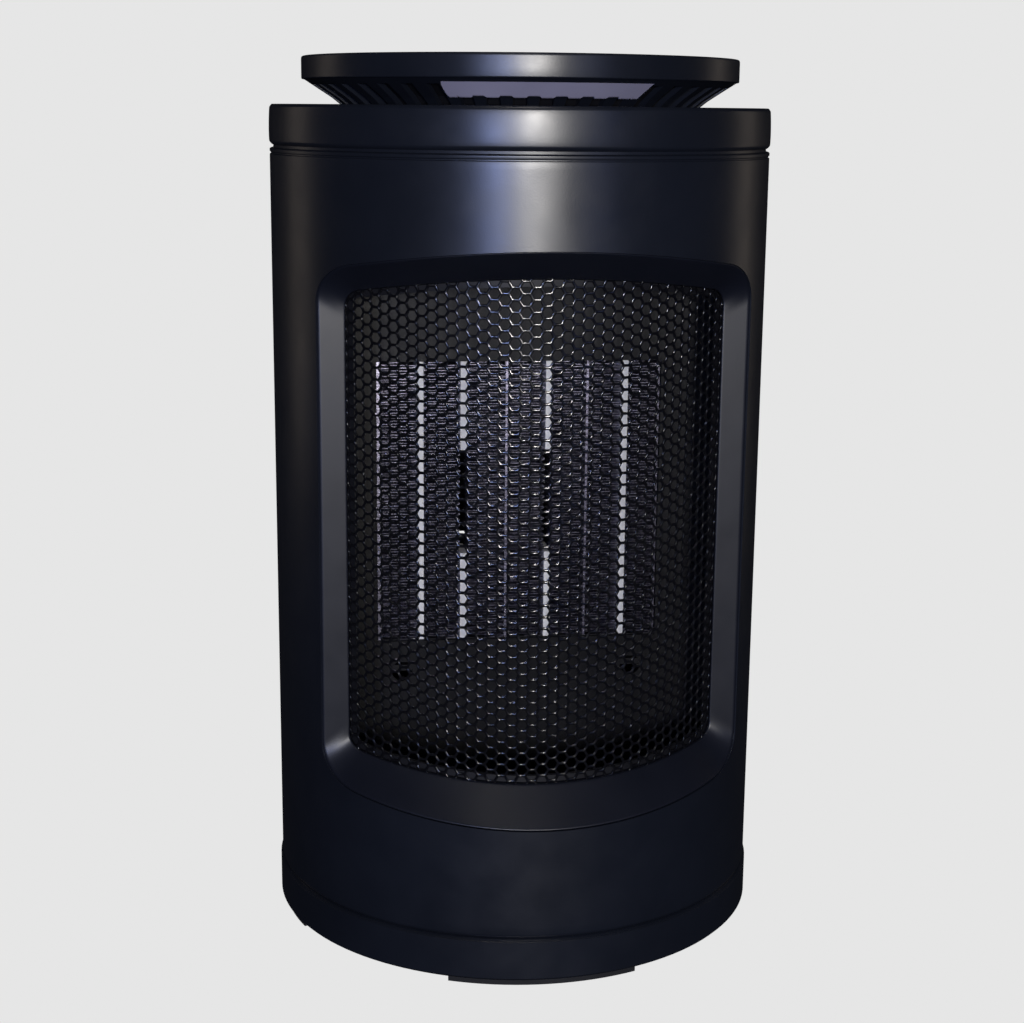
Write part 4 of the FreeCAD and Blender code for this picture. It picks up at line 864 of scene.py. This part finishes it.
def backdrop_material():
    """A pale, even ground that lights itself."""
    material = bpy.data.materials.new("pale_ground")
    material.use_nodes = True
    tree = material.node_tree
    tree.nodes.clear()
    output = tree.nodes.new("ShaderNodeOutputMaterial")
    glow = tree.nodes.new("ShaderNodeEmission")
    glow.inputs["Color"].default_value = (0.791, 0.791, 0.791, 1)
    tree.links.new(glow.outputs[0], output.inputs[0])
    return material


def area_light(name, azimuth, distance, height, size, power, tint, aim=0.15):
    """An area light on a circle round the heater, aimed at a height on its axis. Azimuth is
    counted from the front, towards +X."""
    lamp = bpy.data.lights.new(name, "AREA")
    lamp.shape = "RECTANGLE"
    lamp.size, lamp.size_y = size
    lamp.energy = power
    lamp.color = tint
    holder = bpy.data.objects.new(name, lamp)
    turn = math.radians(azimuth)
    holder.location = (distance * math.sin(turn), -distance * math.cos(turn), height)
    way = Vector((0, 0, aim)) - holder.location
    holder.rotation_euler = way.to_track_quat("-Z", "Y").to_euler()
    bpy.context.scene.collection.objects.link(holder)
    return holder


class HEATER_OT_stage(bpy.types.Operator):
    """Floor, backdrop, lights and camera"""
    bl_idname = "heater.stage"
    bl_label = "Set the stage"

    def execute(self, context):
        self.ground()
        self.lights()
        self.camera()
        scene = bpy.context.scene
        scene.view_settings.view_transform = "Standard"
        world = bpy.data.worlds.new("studio")
        scene.world = world
        world.use_nodes = True
        world.node_tree.nodes["Background"].inputs["Color"].default_value = (0.009, 0.01, 0.014, 1)
        return {"FINISHED"}

    def ground(self):
        """A floor that rises into a wall behind along a quarter circle."""
        bend = np.linspace(0, np.pi / 2, 24)
        line = np.concatenate([[(-6.0, 0.0)], np.stack([2.0 + np.sin(bend), 1 - np.cos(bend)], 1),
                               [(3.0, 6.0)]])
        x = np.array([-6.0, 6.0])
        points = np.stack([np.broadcast_to(x, (len(line), 2)),
                           np.repeat(line[:, :1], 2, 1), np.repeat(line[:, 1:], 2, 1)], -1)
        mesh = bpy.data.meshes.new("pale_floor")
        mesh.from_pydata(points.reshape(-1, 3).tolist(), [], grid_faces(len(line), 2).tolist())
        mesh.materials.append(backdrop_material())
        floor = bpy.data.objects.new("pale_floor", mesh)
        bpy.context.scene.collection.objects.link(floor)
        floor.visible_glossy = False
        floor.visible_diffuse = False

    def lights(self):
        cool, warm = (0.78, 0.85, 1.0), (1.0, 0.86, 0.72)
        area_light("key", -1, 1.5, 0.36, (0.12, 0.2), 17.0, (1.0, 0.97, 0.93), 0.2)
        area_light("blue_key", -16, 1.5, 0.3, (0.16, 0.2), 7.0, (0.36, 0.48, 1.0), 0.2)
        area_light("cool_side", 24, 1.3, 0.35, (0.3, 0.6), 0.6, (0.3, 0.42, 1.0))
        area_light("top_fill", 0, 1.2, 1.5, (0.9, 0.9), 0.35, cool)
        area_light("sparkle", -4, 0.5, 1.6, (0.05, 0.05), 1.2, (1.0, 0.95, 0.9), 0.14)
        area_light("warm_rim_right", 112, 1.2, 0.25, (0.25, 0.7), 0.35, warm)
        area_light("warm_rim_left", -122, 1.2, 0.3, (0.25, 0.7), 0.35, warm)

    def camera(self):
        lens = bpy.data.cameras.new("camera")
        lens.sensor_fit = "HORIZONTAL"
        lens.sensor_width = 36.0
        lens.lens = 63.88
        lens.shift_x = -0.004
        lens.clip_start = 0.02
        view = bpy.data.objects.new("camera", lens)
        turn, distance, height = math.radians(-7.5), 0.598, 0.2653
        pitch_down, tilt = 12.47, 0.555
        place = Matrix.Translation((distance * math.sin(turn), -distance * math.cos(turn), height))
        aim = Euler((math.radians(90 - pitch_down), 0, turn)).to_matrix().to_4x4()
        roll = Matrix.Rotation(math.radians(tilt), 4, "Z")
        view.matrix_world = place @ aim @ roll
        bpy.context.scene.collection.objects.link(view)
        bpy.context.scene.camera = view


class HEATER_PT_panel(bpy.types.Panel):
    """The makers, in the order in which they run"""
    bl_label = "Ceramic heater"
    bl_idname = "HEATER_PT_panel"
    bl_space_type = "VIEW_3D"
    bl_region_type = "UI"
    bl_category = "Heater"

    def draw(self, context):
        for maker in MAKERS:
            self.layout.operator(maker.bl_idname)


MAKERS = (HEATER_OT_finishes, HEATER_OT_shell, HEATER_OT_base, HEATER_OT_collar, HEATER_OT_cone,
          HEATER_OT_disc, HEATER_OT_bezel, HEATER_OT_honeycomb, HEATER_OT_element,
          HEATER_OT_rear, HEATER_OT_buttons, HEATER_OT_springs, HEATER_OT_stage)
CLASSES = (HeaterSizes, HeaterColours, *MAKERS, HEATER_PT_panel)


def register():
    for item in CLASSES:
        bpy.utils.register_class(item)
    bpy.types.Scene.heater_sizes = PointerProperty(type=HeaterSizes)
    bpy.types.Scene.heater_colours = PointerProperty(type=HeaterColours)


def unregister():
    del bpy.types.Scene.heater_colours
    del bpy.types.Scene.heater_sizes
    for item in reversed(CLASSES):
        bpy.utils.unregister_class(item)


def main():
    register()
    for maker in MAKERS:
        group, call = maker.bl_idname.split(".")
        getattr(getattr(bpy.ops, group), call)()


if __name__ == "__main__":
    main()
